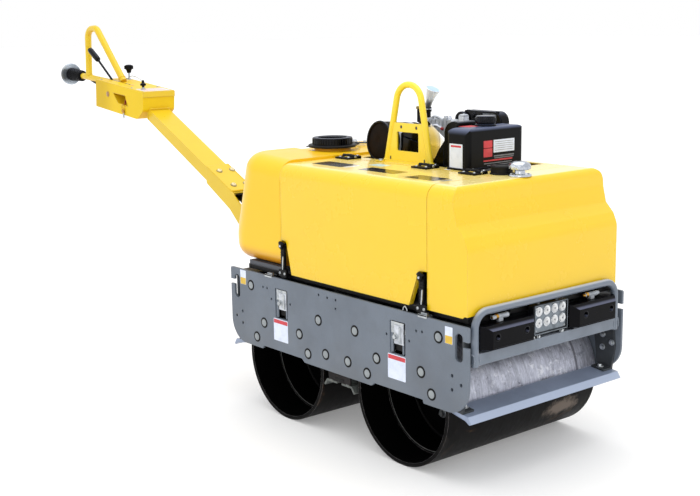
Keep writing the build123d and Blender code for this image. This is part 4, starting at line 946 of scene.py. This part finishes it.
# draw latches: ribs, hook and screws on each rubber strap
for s, tag in SIDES:
    b = Build()
    for x in (-288, 376):
        y = s * 328
        for k in range(7):
            z = 520 + k * 9
            b.box(x - 9.4, x + 9.4, *sorted((y, y + s * 1.8)), z, z + 4.2, "rubber", 0.8)
        m = at((x, s * 333.6, 590), (0, s, 0))
        b.lathe([(9.2, -6), (10.6, -4), (10.6, 1), (8.6, 3.4), (4.4, 3.8), (0, 3.8)], m, "plastic", 26)
        b.lathe([(4.0, 3.8), (3.8, 5.4), (2.6, 6.2), (0, 6.2)], m, "chrome", 18)
        b.tube([(x - 12, s * 331, 597), (x, s * 336, 603), (x + 12, s * 331, 597)], 3.6, "rubber", 12, smooth=6)
        b.box(x - 16, x + 24, *sorted((s * 330, s * 333)), 487, 511, "black_steel", 1.0)
        for dx, dz in ((-9, 499), (17, 499)):
            b.button(at((x + dx, s * 333, dz), (0, s, 0)), 4.6, 3, "zinc")
        b.tube([(x + 4, s * 331, 512), (x + 9, s * 334, 532), (x + 11, s * 334, 556)], 2.6, "zinc", 10, smooth=6)
    b.done(f"latch_details_{tag}", "root")

# ------------------------------------------------------------------ lifting eye
b = Build()
EX, EY = -5, -26
for s in (-1, 1):
    b.weld([(EX - 116, EY + s * 11.5, 858), (EX + 116, EY + s * 11.5, 858)], 2.6, "eye_yellow", step=4)
    b.lathe([(5.4, -2), (5.4, 0), (4, 0.3), (0, 0.3)], at((EX + (-29 if s < 0 else 42), EY - 3, 973), (0, -1, 0)), "ink", 24)
    for e in (-1, 1):
        top = 70 if e > 0 else -66
        b.weld([(EX + e * 97, EY - 2 + s * 3.5, 880), (EX + top, EY - 2 + s * 3.5, 985)], 2.4, "eye_yellow", step=4)
    b.box(EX + s * 80 - 2.4, EX + s * 80 + 2.4, EY - 5.9, EY - 5.0, 866, 876, "ink", 0.3)
for e in (-1, 1):
    b.lathe([(12.4, 0), (12.6, 3), (11, 5)], at((EX + e * 101, EY, 863)), "eye_yellow", 26)
b.done("eye_welds", "root")
b = Build()
for e in (-1, 1):
    b.hexbolt(at((EX + e * 111, EY - 20, 857.2)), 13, 7, "zinc", washer=11, wt=1.8)
    b.box(EX + e * 111 - 14, EX + e * 111 + 14, EY - 34, EY - 11, 857, 860.6, "eye_yellow", 0.6)
b.done("eye_feet", "root")

# ------------------------------------------------------------------ engine
b = Build()
# oil filler
m = at((456, -7, 0))
b.lathe([(0, 857), (33, 857.1), (34.4, 858), (34.4, 861), (33, 863.2), (17, 863.8), (15.6, 866), (15.2, 874), (17, 876), (28.6, 876.6), (31.0, 878.4),
         (31.6, 881), (31.8, 887), (30.6, 891.6), (27, 895.6), (19.6, 899.2), (10, 901.2), (0, 901.8)], m, "chrome", 56)
for k in range(14):
    a = 2 * pi * k / 14
    b.box(-1.0, 1.2, -3.0, 3.0, 878.6, 889, "chrome", 1.0, Matrix.Translation((456 + 31.2 * cos(a), -7 + 31.2 * sin(a), 0)) @ Matrix.Rotation(a, 4, "Z"), seg=2)
for k in range(4):
    a = 2 * pi * (k + 0.5) / 4
    b.button(at((456 + 25 * cos(a), -7 + 25 * sin(a), 863.2)), 3.6, 2.2, "zinc")
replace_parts(b.done("filler_cap", "root"), "oil_filler")

b = Build()
m = at((385, -8, 0))
b.lathe([(33.2, 857), (35.8, 857.6), (35.8, 860.4), (34, 862), (33.3, 862)], m, "rubber", 44)
b.lathe([(33.2, 873), (34.4, 875), (34.2, 880.6), (31.6, 883.2), (20, 883.6), (19.2, 881.8), (0, 881.6)], m, "rubber", 44)
b.done("grommet_lip", "root")

b = Build()
# fuel tank: seam flange, cap, labels and mounting feet
fx0, fx1, fy0, fy1 = 180, 276, -40, 207
seam = 926
pts = [(fx0 - 1.2, fy0 + 14), (fx0 + 3, fy0 + 3.4), (fx0 + 14, fy0 - 1.2), (fx1 - 14, fy0 - 1.2), (fx1 - 3, fy0 + 3.4), (fx1 + 1.2, fy0 + 14),
       (fx1 + 1.2, fy1 - 14), (fx1 - 3, fy1 - 3.4), (fx1 - 14, fy1 + 1.2), (fx0 + 14, fy1 + 1.2), (fx0 + 3, fy1 - 3.4), (fx0 - 1.2, fy1 - 14)]
b.tube([(x, y, 862) for x, y in pts] + [(pts[0][0], pts[0][1], 862)], 1.8, "plastic", 8)
m = at((225, 88, 0))
b.lathe([(30.2, 994), (31.6, 995.4), (31.6, 1009), (29.8, 1013.4), (26.4, 1015.2), (12, 1016), (0, 1016)], m, "gloss_black", 40)
for k in range(30):
    a = 2 * pi * k / 30
    b.box(-0.9, 1.3, -1.2, 1.2, 996.5, 1009, "gloss_black", 0.4, Matrix.Translation((225 + 31.6 * cos(a), 88 + 31.6 * sin(a), 0)) @ Matrix.Rotation(a, 4, "Z"), seg=1)
b.lathe([(31, 984), (33, 985), (33, 988), (26.4, 992)], m, "plastic", 40)
for y in (-30, 196):
    b.box(186, 270, y - 11, y + 11, 857.2, 861, "black_steel", 0.8)
    for x in (192, 264):
        b.hexbolt(at((x, y + (14 if y > 0 else -14) * 0.2, 861)), 10, 5, "zinc", washer=8, wt=1.2)
b.done("fuel_tank_cap_ribs", "root")

b = Build()
m = at((224.5, -40, 899.5), (0, -1, 0), up=(0, 0, 1))
b.sticker(m, 56, 75, "white", r=2)
b.sticker(m @ Matrix.Translation((0, 30, 0)), 44, 6, "red", r=1, z0=0.3, t=0.12)
m = at((276, 95, 926), (1, 0, 0), up=(0, 0, 1))
b.sticker(m @ Matrix.Translation((22, -1, 0)), 93, 39, "white", r=1.5)
for k in range(5):
    b.sticker(m @ Matrix.Translation((22, 12 - k * 6.4, 0)), 84 - 7 * (k % 2), 1.3, "print", r=0.5, z0=0.3, t=0.1)
b.sticker(m @ Matrix.Translation((-49, 7, 0)), 38, 22, "red", r=1.5)
b.sticker(m @ Matrix.Translation((-49, -19, 0)), 38, 26, "red", r=1.5)
b.sticker(m @ Matrix.Translation((22, -31, 0)), 90, 4, "print", r=1.0)
b.sticker(m @ Matrix.Translation((22, -37, 0)), 86, 3, "print", r=1.0)
b.sticker(m @ Matrix.Translation((-4, -43.5, 0)), 128, 4.5, "red", r=1.0)
b.sticker(m @ Matrix.Translation((-4, -52, 0)), 124, 3, "print", r=1.0)
b.sticker(m @ Matrix.Translation((0, -58, 0)), 104, 2.4, "print", r=1.0)
m = at((205, 30, 984), (0, 0, 1), spin=0)
b.sticker(m @ Matrix.Translation((0, -8, 0)), 44, 56, "red", r=2)
b.done("fuel_tank_labels", "root")

b = Build()
# air cleaner: lid, clips, ribs and intake slots
m = Matrix(((1, 0, 0, 0), (0, 0, -1, 208), (0, 1, 0, 0), (0, 0, 0, 1)))
prof = [(16, 881), (180, 881), (180, 984), (177, 998), (169, 1008), (158, 1014), (148, 1015.4), (16, 1015.4)]
b.prism(prof, 0.0, 3.0, m, "gloss_black", 1.2)
# painted highlight: a grey strip laid along the lid's rounded shoulder
outer = [(100, 1009.5), (146, 1009.5), (156, 1007.6), (162, 1003.6)]
inner = [(157.5, 999.4), (152.6, 1001.8), (145, 1003), (100, 1003)]
b.prism(outer + inner, 3.0, 5.0, m, "shoulder_highlight_grey", 0.8)
for k in range(8):
    b.box(40 + k * 14, 46 + k * 14, 203.4, 205.2, 900, 960, "plastic", 0.5)
b.lathe([(9, 0), (9, 3), (5, 5), (5, 7), (0, 7)], at((60, 205, 1000), (0, -1, 0)), "plastic", 22)
for x in (30, 160):
    b.box(x - 6, x + 6, 206, 214, 1011, 1017.5, "plastic", 1.0)
for k in range(6):
    b.tube([(28 + k * 22, 243, 900), (28 + k * 22, 243, 1000)], 2.6, "plastic", 8)
# inlet elbow beside it
b.lathe([(26.2, -1), (27.2, 1), (25.6, 3.4), (19, 5), (15, 4.2), (0, 4.0)], at((10, 196, 984), (0, -1, 0)), "gloss_black", 44)
b.lathe([(26.0, 4), (27.4, 6), (27.4, 10), (26.0, 12)], at((10, 209, 984), (0, -1, 0)), "plastic", 44)
b.done("air_cleaner_lid", "root")

b = Build()
# blower housing: grille, screws and its rolled front edge
for k in range(6):
    b.box(119 + k * 8.6, 123 + k * 8.6, 18.4, 20.2, 880, 955 - k * 1.2, "black_steel", 0.5)
for x, z in ((119, 852), (168, 852), (168, 984)):
    b.hexbolt(at((x, 20, z), (0, -1, 0)), 9, 4, "black_steel", washer=7.5, wt=1.2)
b.tube([(113.0, 22, 846), (113.0, 22, 950), (116, 22, 968), (126, 22, 985), (140, 22, 993), (158, 22, 996)], 1.8, "gloss_black", 10, smooth=6)
b.prism([(114, 940), (114, 846), (54, 846), (60.4, 866.5), (83.3, 903.4)], 0, 3, Matrix(((1, 0, 0, 0), (0, 0, -1, 25), (0, 1, 0, 0), (0, 0, 0, 1))), "plastic", 0.8)
b.prism([(108, 918), (108, 852), (66, 852), (84, 884)], 3, 4.2, Matrix(((1, 0, 0, 0), (0, 0, -1, 25), (0, 1, 0, 0), (0, 0, 0, 1))), "gloss_black", 0.6)
b.done("blower_grille", "root")

b = Build()
# cylinder head: casting bolts, breather, small pipes and the square cap
for x, y in ((-88, 158), (-88, 184), (-46, 184)):
    b.hexbolt(at((x, y, 985)), 9, 5, "cast", washer=7.5, wt=1.2)
b.lathe([(9, 984), (9, 990), (7, 992), (7, 996), (5.4, 997.4), (0, 997.6)], at((-24, 160, 0)), "cast", 24)
b.lathe([(6, 984), (6, 992), (4.4, 994), (4.4, 998), (0, 998.6)], at((-3, 158, 0)), "cube_grey", 20)
b.lathe([(10, 984), (10.6, 986), (10.6, 989), (8, 991), (0, 991)], at((-62, 166, 0)), "cast", 24)
b.tube([(-96, 168, 976), (-86, 160, 990), (-66, 154, 993), (-46, 154, 989), (-34, 156, 984)], 4.2, "cast", 12, smooth=8)
b.tube([(-74, 148, 963), (-60, 145.5, 966), (-44, 145.5, 962), (-32, 148, 956)], 3.4, "cube_grey", 12, smooth=6)
for k in range(5):
    b.box(-90 + k * 18, -82 + k * 18, 147.6, 150.2, 974 - k * 6, 983, "cast", 0.8)
b.lathe([(5.4, 0), (5.4, 5), (4.2, 6.6), (0, 7)], at((-30, 150, 955), (0, -1, 0.1)), "hose_red", 18)
b.box(52.2, 76.8, 141.0, 144.0, 962, 1002, "cube_grey", 1.4)
b.box(52.2, 55.2, 142.0, 165.4, 962, 1002, "cube_grey", 1.4)
b.box(73.8, 76.8, 142.0, 165.4, 962, 1002, "cube_grey", 1.4)
b.box(52.4, 76.6, 141.4, 165.4, 1000, 1007, "cube_grey", 3.0)
b.box(57, 72, 139.8, 141.4, 972, 980, "cast", 0.6)
b.button(at((64.5, 153, 1007)), 4.6, 2.4, "zinc")
b.done("head_fittings", "root")

b = Build()
# muffler: rolled rims, dished end and heat shield straps
turn = Matrix.Translation((-180, 2, 916)) @ Euler((0, 0, radians(-3.5))).to_matrix().to_4x4() @ Euler((radians(-95.5), 0, 0)).to_matrix().to_4x4()
R = 65
b.lathe([(R - 4.6, -0.6), (R - 2.0, -2.2), (R + 1.4, -1.4), (R + 2.4, 1.2), (R + 1.6, 5.4), (R + 0.2, 6.4)], turn, "gloss_black", 72)
b.lathe([(R - 5.2, 3.0), (R - 9, 2.2), (40, 1.0), (14, 1.0), (10, 1.8), (0, 1.9)], turn, "brown", 72)
b.lathe([(R + 0.1, 143), (R + 1.6, 144), (R + 2.0, 147), (R + 1.4, 150.5), (R - 0.6, 151.5)], turn, "black_steel", 72)
b.lathe([(61.4, 212.5), (62.2, 214), (61.6, 216.5), (60.0, 218)], turn, "bright", 72)
for h in (46, 116):
    b.lathe([(R + 0.1, h - 9), (R + 1.8, h - 8.4), (R + 1.8, h + 8.4), (R + 0.1, h + 9)], turn, "cast", 72)
b.done("muffler_rims", "root")
b = Build()
# folded heat shield between the lifting eye and the muffler, standing on the engine
b.prism([(-100, 842), (16, 842), (16, 938), (-4, 960), (-74, 960), (-100, 944)], 0, 3, Matrix(((1, 0, 0, 0), (0, 0, -1, 30), (0, 1, 0, 0), (0, 0, 0, 1))), "gloss_black", 1.0)
b.prism([(27, 958), (27, 961.5), (58, 969.5), (60, 966.5)], -74, -4, Matrix(((0, 0, 1, 0), (1, 0, 0, 0), (0, 1, 0, 0), (0, 0, 0, 1))), "gloss_black", 0.8)
b.prism([(-92, 850), (8, 850), (8, 920), (-84, 936)], 3, 8, Matrix(((1, 0, 0, 0), (0, 0, -1, 30), (0, 1, 0, 0), (0, 0, 0, 1))), "gloss_black", 2.6)
b.box(-100, 16, 27, 62, 838.2, 842, "black_steel", 0.8)
for x in (-88, 4):
    b.hexbolt(at((x, 48, 842)), 10, 5, "zinc", washer=8, wt=1.2)
b.done("muffler_heat_shield", "root")
b = Build()
b.lathe([(3.4, 284.6), (4.4, 286), (3.6, 289.6), (0, 290.4)], turn, "cast", 20)
b.done("cone_tip", "root")

b = Build()
# exhaust: dark sleeve, clamp and the flared chromed tail with its open mouth
m = at((-147, 192, 0))
b.lathe([(10.3, 958), (11.4, 959), (11.4, 1002.4), (14.3, 1003.4), (14.4, 1009.6), (14.4, 1014.4), (14.3, 1017.4), (12.6, 1019.2), (11.4, 1020)], m, "plastic", 32)
b.lathe([(14.3, 1010.6), (15.3, 1011.2), (15.3, 1013.4), (14.3, 1014)], m, "chrome", 32)
b.lathe([(10.4, 972), (19, 972.6), (19, 977), (12, 979), (11.4, 984)], m, "cast", 32)
ax = Vector((sin(radians(24)), 0, cos(radians(24))))
foot = Vector((-147, 192, 1018))
b.lathe([(11.1, 0.4), (11.3, 20), (12.4, 26), (15.8, 38), (19.4, 50), (22.6, 61), (24.7, 67), (25.0, 68.6), (24.2, 69.4), (22.8, 69.0), (21.6, 68.6)], at(foot, ax), "tail", 44)
b.lathe([(21.7, 68.65), (14, 68.4), (0, 68.4)], at(foot, ax), "tail_mouth", 36)
# governor rod beside it
b.tube([(-193, 192, 966), (-193, 192, 1012)], 4.2, "plastic", 14)
b.lathe([(3.6, 0), (6.4, 1), (7.4, 5), (6.4, 9), (3.4, 11), (0, 11)], at((-194, 192, 1009)), "washer_dull", 18)
b.tube([(-193, 192, 968), (-176, 192, 962), (-159, 192, 962)], 3.4, "black_steel", 12, smooth=6)
b.box(-186, -176, 186, 198, 962, 1000, "gloss_black", 1.6)
b.done("exhaust_tail", "root")

# ------------------------------------------------------------------ hitch and drawbar
def slope(x):
    return -0.48 * x + 191.6


b = Build()
for s in (-1, 1):
    m = at((-700, s * 74, 446), (0, s, 0))
    b.hexbolt(m, 24, 12, "zinc", washer=20, wt=3)
    b.tube([(-700, s * 82, 428), (-700, s * 82, 464)], 1.8, "zinc", 8)
    b.weld([(-562, s * 66.5, 384), (-562, s * 66.5, 470)], 3.4, "black_steel")
    b.weld([(-562, s * 53.5, 384), (-562, s * 53.5, 470)], 3.0, "black_steel")
    for z in (384, 458):
        b.hexbolt(at((-561, s * 78, z), (-1, 0, 0)), 16, 8, "zinc", washer=14, wt=2.2)
b.done("hitch_fastenings", "root")

b = Build()
nrm = Vector((0.48, 0, 1)).normalized()
for x, y in ((-1118, -17), (-1118, 43), (-1022, -17), (-1024, 42)):
    b.lathe([(12.6, 0), (12.6, 1.2), (11.6, 1.8), (0, 1.8)], at((x, y, slope(x) + 6), nrm), "washer_dull", 28)
    b.button(at((x, y, slope(x) + 7.6), nrm), 8.8, 6.0, "bolt_cream")
for s in (-1, 1):
    b.weld([(-1158, s * 50, slope(-1158) + 6.4), (-994, s * 50, slope(-994) + 6.4)], 1.8, "yellow_bar", step=4)
    m = at((-700, s * 53, 446), (0, s, 0))
    b.lathe([(27, -3), (29.5, -1), (29.5, 0.9), (20, 0.95)], m, "yellow_bar", 40)
b.box(-990, -978, -46.8, 46.8, slope(-984) - 8, slope(-984) + 2, "yellow_bar", 0.8)
b.done("neck_bolts", "drawbar")

b = Build()
# hoses that run up inside the open neck
for y, r in ((-16, 8), (4, 8), (22, 6)):
    b.tube([(-1010, y, 648), (-960, y, 628), (-915, y, 570), (-868, y * 1.1, 512), (-820, y * 1.2, 470), (-775, y * 1.3, 448)], r, "rubber", 14, smooth=8)
# Near-black plates across the inside of the neck: painted shade that closes off the view into it.
b.box(-1003, -996, -46.6, 46.6, 628, 668, "pit", 0.6)
b.box(-990, -930, -46.4, 46.4, 660, 661.5, "pit", 0.3)
b.done("neck_hoses", "drawbar")

b = Build()
# control box: folded lid, side bolts, slot, decals
def lid(x):
    return 1029 + (x + 1584) * -0.1045


tilt = Vector((0.1045, 0, 1)).normalized()
for s in (-1, 1):
    b.lathe([(11.5, 0), (11.5, 1.6), (10.4, 2.8), (6, 4.2), (0, 4.6)], at((-1887, s * 76, 1010), (0, s, 0)), "bolt_warm", 28)
    b.tube([(-1585, s * 75.2, lid(-1585) - 0.6), (-1990, s * 75.2, lid(-1990) - 0.6)], 1.3, "yellow_bar", 8)
for x in (-1965, -1700):
    for y in (-62, 62):
        b.button(at((x, y, lid(x)), tilt), 4.8, 2.8, "zinc")
# lever slot as a dark strip, painted shade for its opening, and its brown end pad
m = at((-1862, -16.5, lid(-1862)), tilt, up=(0, 1, 0))
b.rounded(176, 5, 2.2, 0.5, m, "ink")
m = at((-1776, -16, lid(-1776)), tilt, up=(0, 1, 0))
b.rounded(20, 9, 3, 1.2, m, "faded_red", bev=0.4)
m = at((-1634, 2, lid(-1634)), tilt, up=(1, 0, 0))
b.sticker(m, 128, 74, "white", r=2)
for k in range(4):
    b.sticker(m @ Matrix.Translation((0, -27 + k * 18, 0)), 112, 8, "faded_red", r=1.5, z0=0.3, t=0.12)
# folded lip along the lid's front and sides
b.box(-1585.5, -1582.2, -76.6, 76.6, 1006, 1027.6, "yellow_bar", 0.9)
b.tube([(-1584.5, -74, 1028.6), (-1584.5, 74, 1028.6)], 1.5, "yellow_bar", 10)
b.done("box_fittings", "drawbar")

b = Build()
# star knob's boss and cap, its stud and cable; toggle with its nut and collar
m = at((-1940, 62, 0))
b.lathe([(15.6, 1127.4), (14.4, 1129.2), (9, 1131), (0, 1131.6)], m, "gloss_black", 30)
b.lathe([(14, 1110.4), (10.4, 1103), (10.2, 1096), (5, 1094), (0, 1094)], m, "plastic", 26)
b.lathe([(4.2, 1058), (4.5, 1060), (4.5, 1093), (4.2, 1095)], m, "chrome", 16)
b.hexbolt(at((-1940, 62, lid(-1940)), tilt), 13, 5, "cast", washer=11, wt=1.4)
m = at((-1655, -33, 0))
b.hexbolt(at((-1655, -33, lid(-1655)), tilt), 15, 5, "cast", washer=11.5, wt=1.2)
b.lathe([(5.4, 1040), (5.6, 1050), (11.6, 1052.6), (12.6, 1056), (11.6, 1059.6), (7.6, 1062), (5.6, 1066), (5.6, 1072), (4.0, 1074.6), (0, 1075)], m, "plastic", 26)
b.lathe([(5.3, 1034), (5.5, 1036), (5.5, 1049), (5.3, 1050)], m, "chrome", 20)
b.tube([(-1934, 62, 1078), (-1900, 58, 1082), (-1840, 48, 1076), (-1780, 40, 1062), (-1772, 40, 1049)], 1.7, "cast", 10, smooth=8)
b.lathe([(5, 0), (5, 3), (3, 5), (0, 5)], at((-1772, 40, lid(-1772)), tilt), "zinc", 20)
b.done("knob_and_toggle", "drawbar")

b = Build()
# travel lever: collar and end cap on the grip
g0, g1 = Vector((-2074, -17, 1153.9)), Vector((-2143, -17, 1196))
d = (g1 - g0).normalized()
b.lathe([(5.5, -5), (10.4, -3.5), (12.2, 0), (12.4, 6), (12.5, 30), (13.4, 66), (12.6, 76), (8, 82), (0, 83.4)], at(g0, d), "gloss_black", 32)
for k in range(5):
    b.lathe([(12.4, 10 + k * 9), (13.2, 12 + k * 9), (13.2, 14 + k * 9), (12.4, 16 + k * 9)], at(g0, d), "gloss_black", 32)
b.tube([(-1946, -17, 1063), (-2072, -17, 1152.6)], 4.9, "plastic", 14)
b.done("lever_grip", "drawbar")

b = Build()
# stop button: bellows and dished face
ax = (Matrix.Rotation(radians(-87), 3, "Y") @ Vector((0, 0, 1))).normalized()
base = Vector((-2318, 0, 1078)) - ax * 56
prof = [(14.4, -3)]
for k in range(11):
    h = 2 + k * 9.6
    r = 23.0 + 0.46 * k
    prof += [(r - 1.8, h), (r + 1.9, h + 3.2), (r + 1.9, h + 5.6), (r - 1.8, h + 8.8)]
prof += [(26, 110)]
b.lathe(prof, at(base, ax), "plastic", 40)
face = Vector((-2378, 0, 1081)) - ax * 5
b.lathe([(26, -0.4), (27, -1.2), (44, -1.4), (48.0, -0.4), (49.6, 1.8), (49.8, 5.0)], at(face, ax), "button_silver", 64)
b.lathe([(49.8, 5.0), (49.2, 8.6), (46.4, 10.8), (40, 11.4), (33, 9.6), (0, 8.8)], at(face, ax), "gloss_black", 64)
for k in range(3):
    b.lathe([(44 - k * 5, -2.6), (42.8 - k * 5, -3.6), (41 - k * 5, -2.6)], at(face + ax * 1.4, ax), "button_silver", 56)
b.lathe([(14.2, -6), (17.4, -5), (17.4, 0), (14.2, 1)], at(base, ax), "plastic", 30)
b.done("stop_button_bellows", "drawbar")

b = Build()
# handle: weld rings at the joints, stiffener under the tube
for p, n in (((-2262, 0, 1076), (-1, 0, 0.09)), ((-2000, 0, 1054.6), (-1, 0, 0.09))):
    b.lathe([(13.4, -3), (15.6, -1), (15.4, 2), (13.4, 3.4)], at(p, n), "yellow_bar", 32)
for p, n in (((-2198, 0, 1085), (0.06, 0, 1)), ((-1893, 0, 1076), (-0.7, 0, 0.7))):
    b.lathe([(14.3, -4), (16.6, -1.6), (15.8, 2), (14.3, 3.6)], at(p, n), "yellow_bar", 32)
m = Matrix(((1, 0, 0, 0), (0, 0, -1, 4), (0, 1, 0, 0), (0, 0, 0, 1)))
b.prism([(-2186, 1056), (-2128, 1052), (-2000, 1040), (-2000, 1010), (-2040, 1022), (-2140, 1044)], 0, 8, m, "black_steel", 1.0)
b.done("handle_welds", "drawbar")

b = Build()
# keys in the side pocket, with the pocket's rolled rim
rim = [(-1841, -76.2, 1018), (-1737, -76.2, 1009), (-1716, -76.2, 964), (-1800, -76.2, 974), (-1841, -76.2, 1018)]
b.tube(rim, 1.4, "yellow_bar", 10, cap=False)
b.lathe([(11, 0), (11, 5), (8, 7), (8, 10), (0, 10)], at((-1760, -27, 990), (0, -1, 0)), "cast", 26)
b.lathe([(8.4, 0), (8.4, 14), (6, 17), (0, 17)], at((-1786, -27, 992), (0, -1, 0)), "brown", 22)
b.tube([(-1786, -42, 992), (-1770, -56, 986), (-1756, -66, 978), (-1748, -72, 972)], 3.2, "hose_red", 10, smooth=6)
b.box(-1761.4, -1758.6, -60, -36, 977, 1000, "chrome", 0.8)
ring = [(-1752 + 12 * cos(2 * pi * k / 20), -79, 958 + 12 * sin(2 * pi * k / 20)) for k in range(21)]
b.tube(ring, 1.1, "brass", 8, cap=False)
for dx, ang in ((-10, 26), (4, -6)):
    m = at((-1752 + dx * 0.4, -79.5 - abs(dx) * 0.15, 948), (0, -1, 0), up=(0, 0, 1)) @ Matrix.Rotation(radians(ang), 4, "Z")
    b.rounded(16, 18, 5, 1.8, m @ Matrix.Translation((0, -7, 0)), "brass", bev=0.5)
    b.box(-2.6, 2.6, -38, -15, 0.2, 1.6, "zinc", 0.4, m)
    for k in range(4):
        b.box(2.4, 4.0, -36 + k * 5, -33.4 + k * 5, 0.2, 1.6, "zinc", 0.3, m)
b.done("pocket_keys", "drawbar")

b = Build()
# beam: welds where it meets the box, and a pair further along
x0 = -1600
for s in (-1, 1):
    b.weld([(x0, s * 48, slope(x0) - 2), (x0 - 2, s * 48, slope(x0) - 44)], 2.6, "yellow_bar")
    b.weld([(-1158, s * 47.6, slope(-1158) - 4), (-1158, s * 47.6, slope(-1158) - 44)], 2.6, "yellow_bar")
b.weld([(x0 + 17, -47, 957), (x0 + 17, 47, 957)], 2.6, "yellow_bar")
b.done("beam_welds", "drawbar")

# ------------------------------------------------------------------ bed, frame and service bay
b = Build()
for x in (-470, 0, 510):
    for y in (-230, 230):
        b.lathe([(30.2, 470.5), (32, 471.5), (32, 474), (29, 476), (32, 478), (32, 480.5), (30.2, 481.6)], at((x, y, 0)), "rubber", 40)
for sx in (-1, 1):
    for y in (-280, -190, 190, 280):
        b.hexbolt(at((sx * 553, y, 452), (sx, 0, 0)), 14, 7, "zinc", washer=12, wt=1.8)
b.done("mount_rims", "root")
b = Build()
# apron strip clamped under the rear cross member
b.box(-553.2, -549.4, -316, 316, 312, 367, "black_steel", 0.8)
b.box(-549.4, -546.0, -312, 312, 350, 364, "black_steel", 0.8)
for y in (-290, -210, -130, 130, 210, 290):
    b.hexbolt(at((-546, y, 357), (1, 0, 0)), 10, 5, "zinc", washer=8, wt=1.2)
b.done("rear_apron", "root")
b = Build()
# engine block dressing: cooling ribs, flange, hoses beside it
for k in range(9):
    b.box(-128, 228, -133.5, -129.8, 560 + k * 26, 566 + k * 26, "black_steel", 0.8)
    b.box(-128, 228, 199.8, 203.5, 560 + k * 26, 566 + k * 26, "black_steel", 0.8)
b.lathe([(78, 0), (80, 4), (80, 16), (70, 20), (30, 22), (26, 30), (0, 30)], at((60, -130, 660), (0, -1, 0)), "cast", 56)
for k in range(8):
    a = 2 * pi * k / 8
    b.hexbolt(at((60 + 66 * cos(a), -150, 660 + 66 * sin(a)), (0, -1, 0)), 11, 6, "zinc", washer=9)
b.rounded(120, 90, 14, 16, at((-60, 200, 680), (0, 1, 0), up=(0, 0, 1)), "cast", bev=3)
b.tube([(130, -132, 540), (180, -150, 560), (240, -150, 620), (250, -120, 700), (238, -90, 740)], 9, "rubber", 16, smooth=8)
b.tube([(-100, -132, 560), (-170, -150, 570), (-200, -130, 530), (-210, -60, 505)], 9, "rubber", 16, smooth=8)
b.done("engine_dressing", "root")

# ------------------------------------------------------------------ studio
def far_white(g, c, r):
    """The sweep brightens to plain white away from the machine, like a lit paper roll."""
    x, y, z = g.split()
    d = g.math("SQRT", g.math("ADD", g.math("MULTIPLY", x, x), g.math("MULTIPLY", y, y)))
    g.bsdf.inputs["Emission Color"].default_value = (1, 1, 1, 1)
    g.put(g.bsdf.inputs["Emission Strength"], g.ramp(d, 1.6, 6.0, 0.22, 0.42))
    return c, r


floor_mat = surface("studio_floor", (0.78, 0.78, 0.78, 1), (0.77, 0.77, 0.77, 1), scale=0.5, rough=(0.7, 0.8), spec=0.2, bumps=((40, 0.03, 2),), bevel=0,
                    bands=(far_white,))
bm = bmesh.new()
bmesh.ops.create_grid(bm, x_segments=2, y_segments=2, size=60)
me = bpy.data.meshes.new("studio_floor")
bm.to_mesh(me)
bm.free()
floor = bpy.data.objects.new("studio_floor", me)
floor.location = (0, 0, -0.0006)
me.materials.append(floor_mat)
scene.collection.objects.link(floor)

world = bpy.data.worlds.new("studio")
scene.world = world
world.use_nodes = True
nt = world.node_tree
nt.nodes.clear()
wo = nt.nodes.new("ShaderNodeOutputWorld")
bg = nt.nodes.new("ShaderNodeBackground")
bg.inputs["Strength"].default_value = 1.0
bg.inputs["Color"].default_value = (1.0, 1.0, 1.0, 1)
nt.links.new(bg.outputs[0], wo.inputs[0])


def softbox(name, loc, target, size, power, color=(1, 1, 1)):
    l = bpy.data.lights.new(name, "AREA")
    l.shape = "RECTANGLE"
    l.size, l.size_y = size
    l.energy = power
    l.color = color
    o = bpy.data.objects.new(name, l)
    o.location = loc
    o.rotation_euler = (Vector(target) - Vector(loc)).to_track_quat("-Z", "Y").to_euler()
    o.visible_camera = False
    scene.collection.objects.link(o)
    return o


softbox("overhead", (0.4, 0.2, 4.2), (0.2, 0, 0.5), (5.0, 3.6), 85)
softbox("key", (4.6, -4.4, 3.0), (0.7, 0, 0.6), (2.6, 2.2), 22, (1.0, 0.99, 0.97))
softbox("side", (-1.8, -5.0, 2.2), (0.1, 0, 0.6), (3.0, 2.0), 6, (0.98, 0.99, 1.0))

cam = bpy.data.cameras.new("camera")
cam.sensor_width = 36.0
cam.lens = 61.0014
co = bpy.data.objects.new("camera", cam)
right, up, back = (0.6384046, 0.7695673, -0.0143456), (-0.1363480, 0.1314131, 0.9819062), (0.7575281, -0.6248974, 0.1888236)
rot = Matrix((right, up, back)).transposed()
co.matrix_world = Matrix.Translation((MX + 2.79283, -2.58217, 1.31187)) @ rot.to_4x4()
scene.collection.objects.link(co)
scene.camera = co
scene.view_settings.view_transform = "Standard"
scene.view_settings.look = "None"
scene.view_settings.exposure = 0.0
scene.view_settings.gamma = 1.0

bpy.context.view_layer.update()
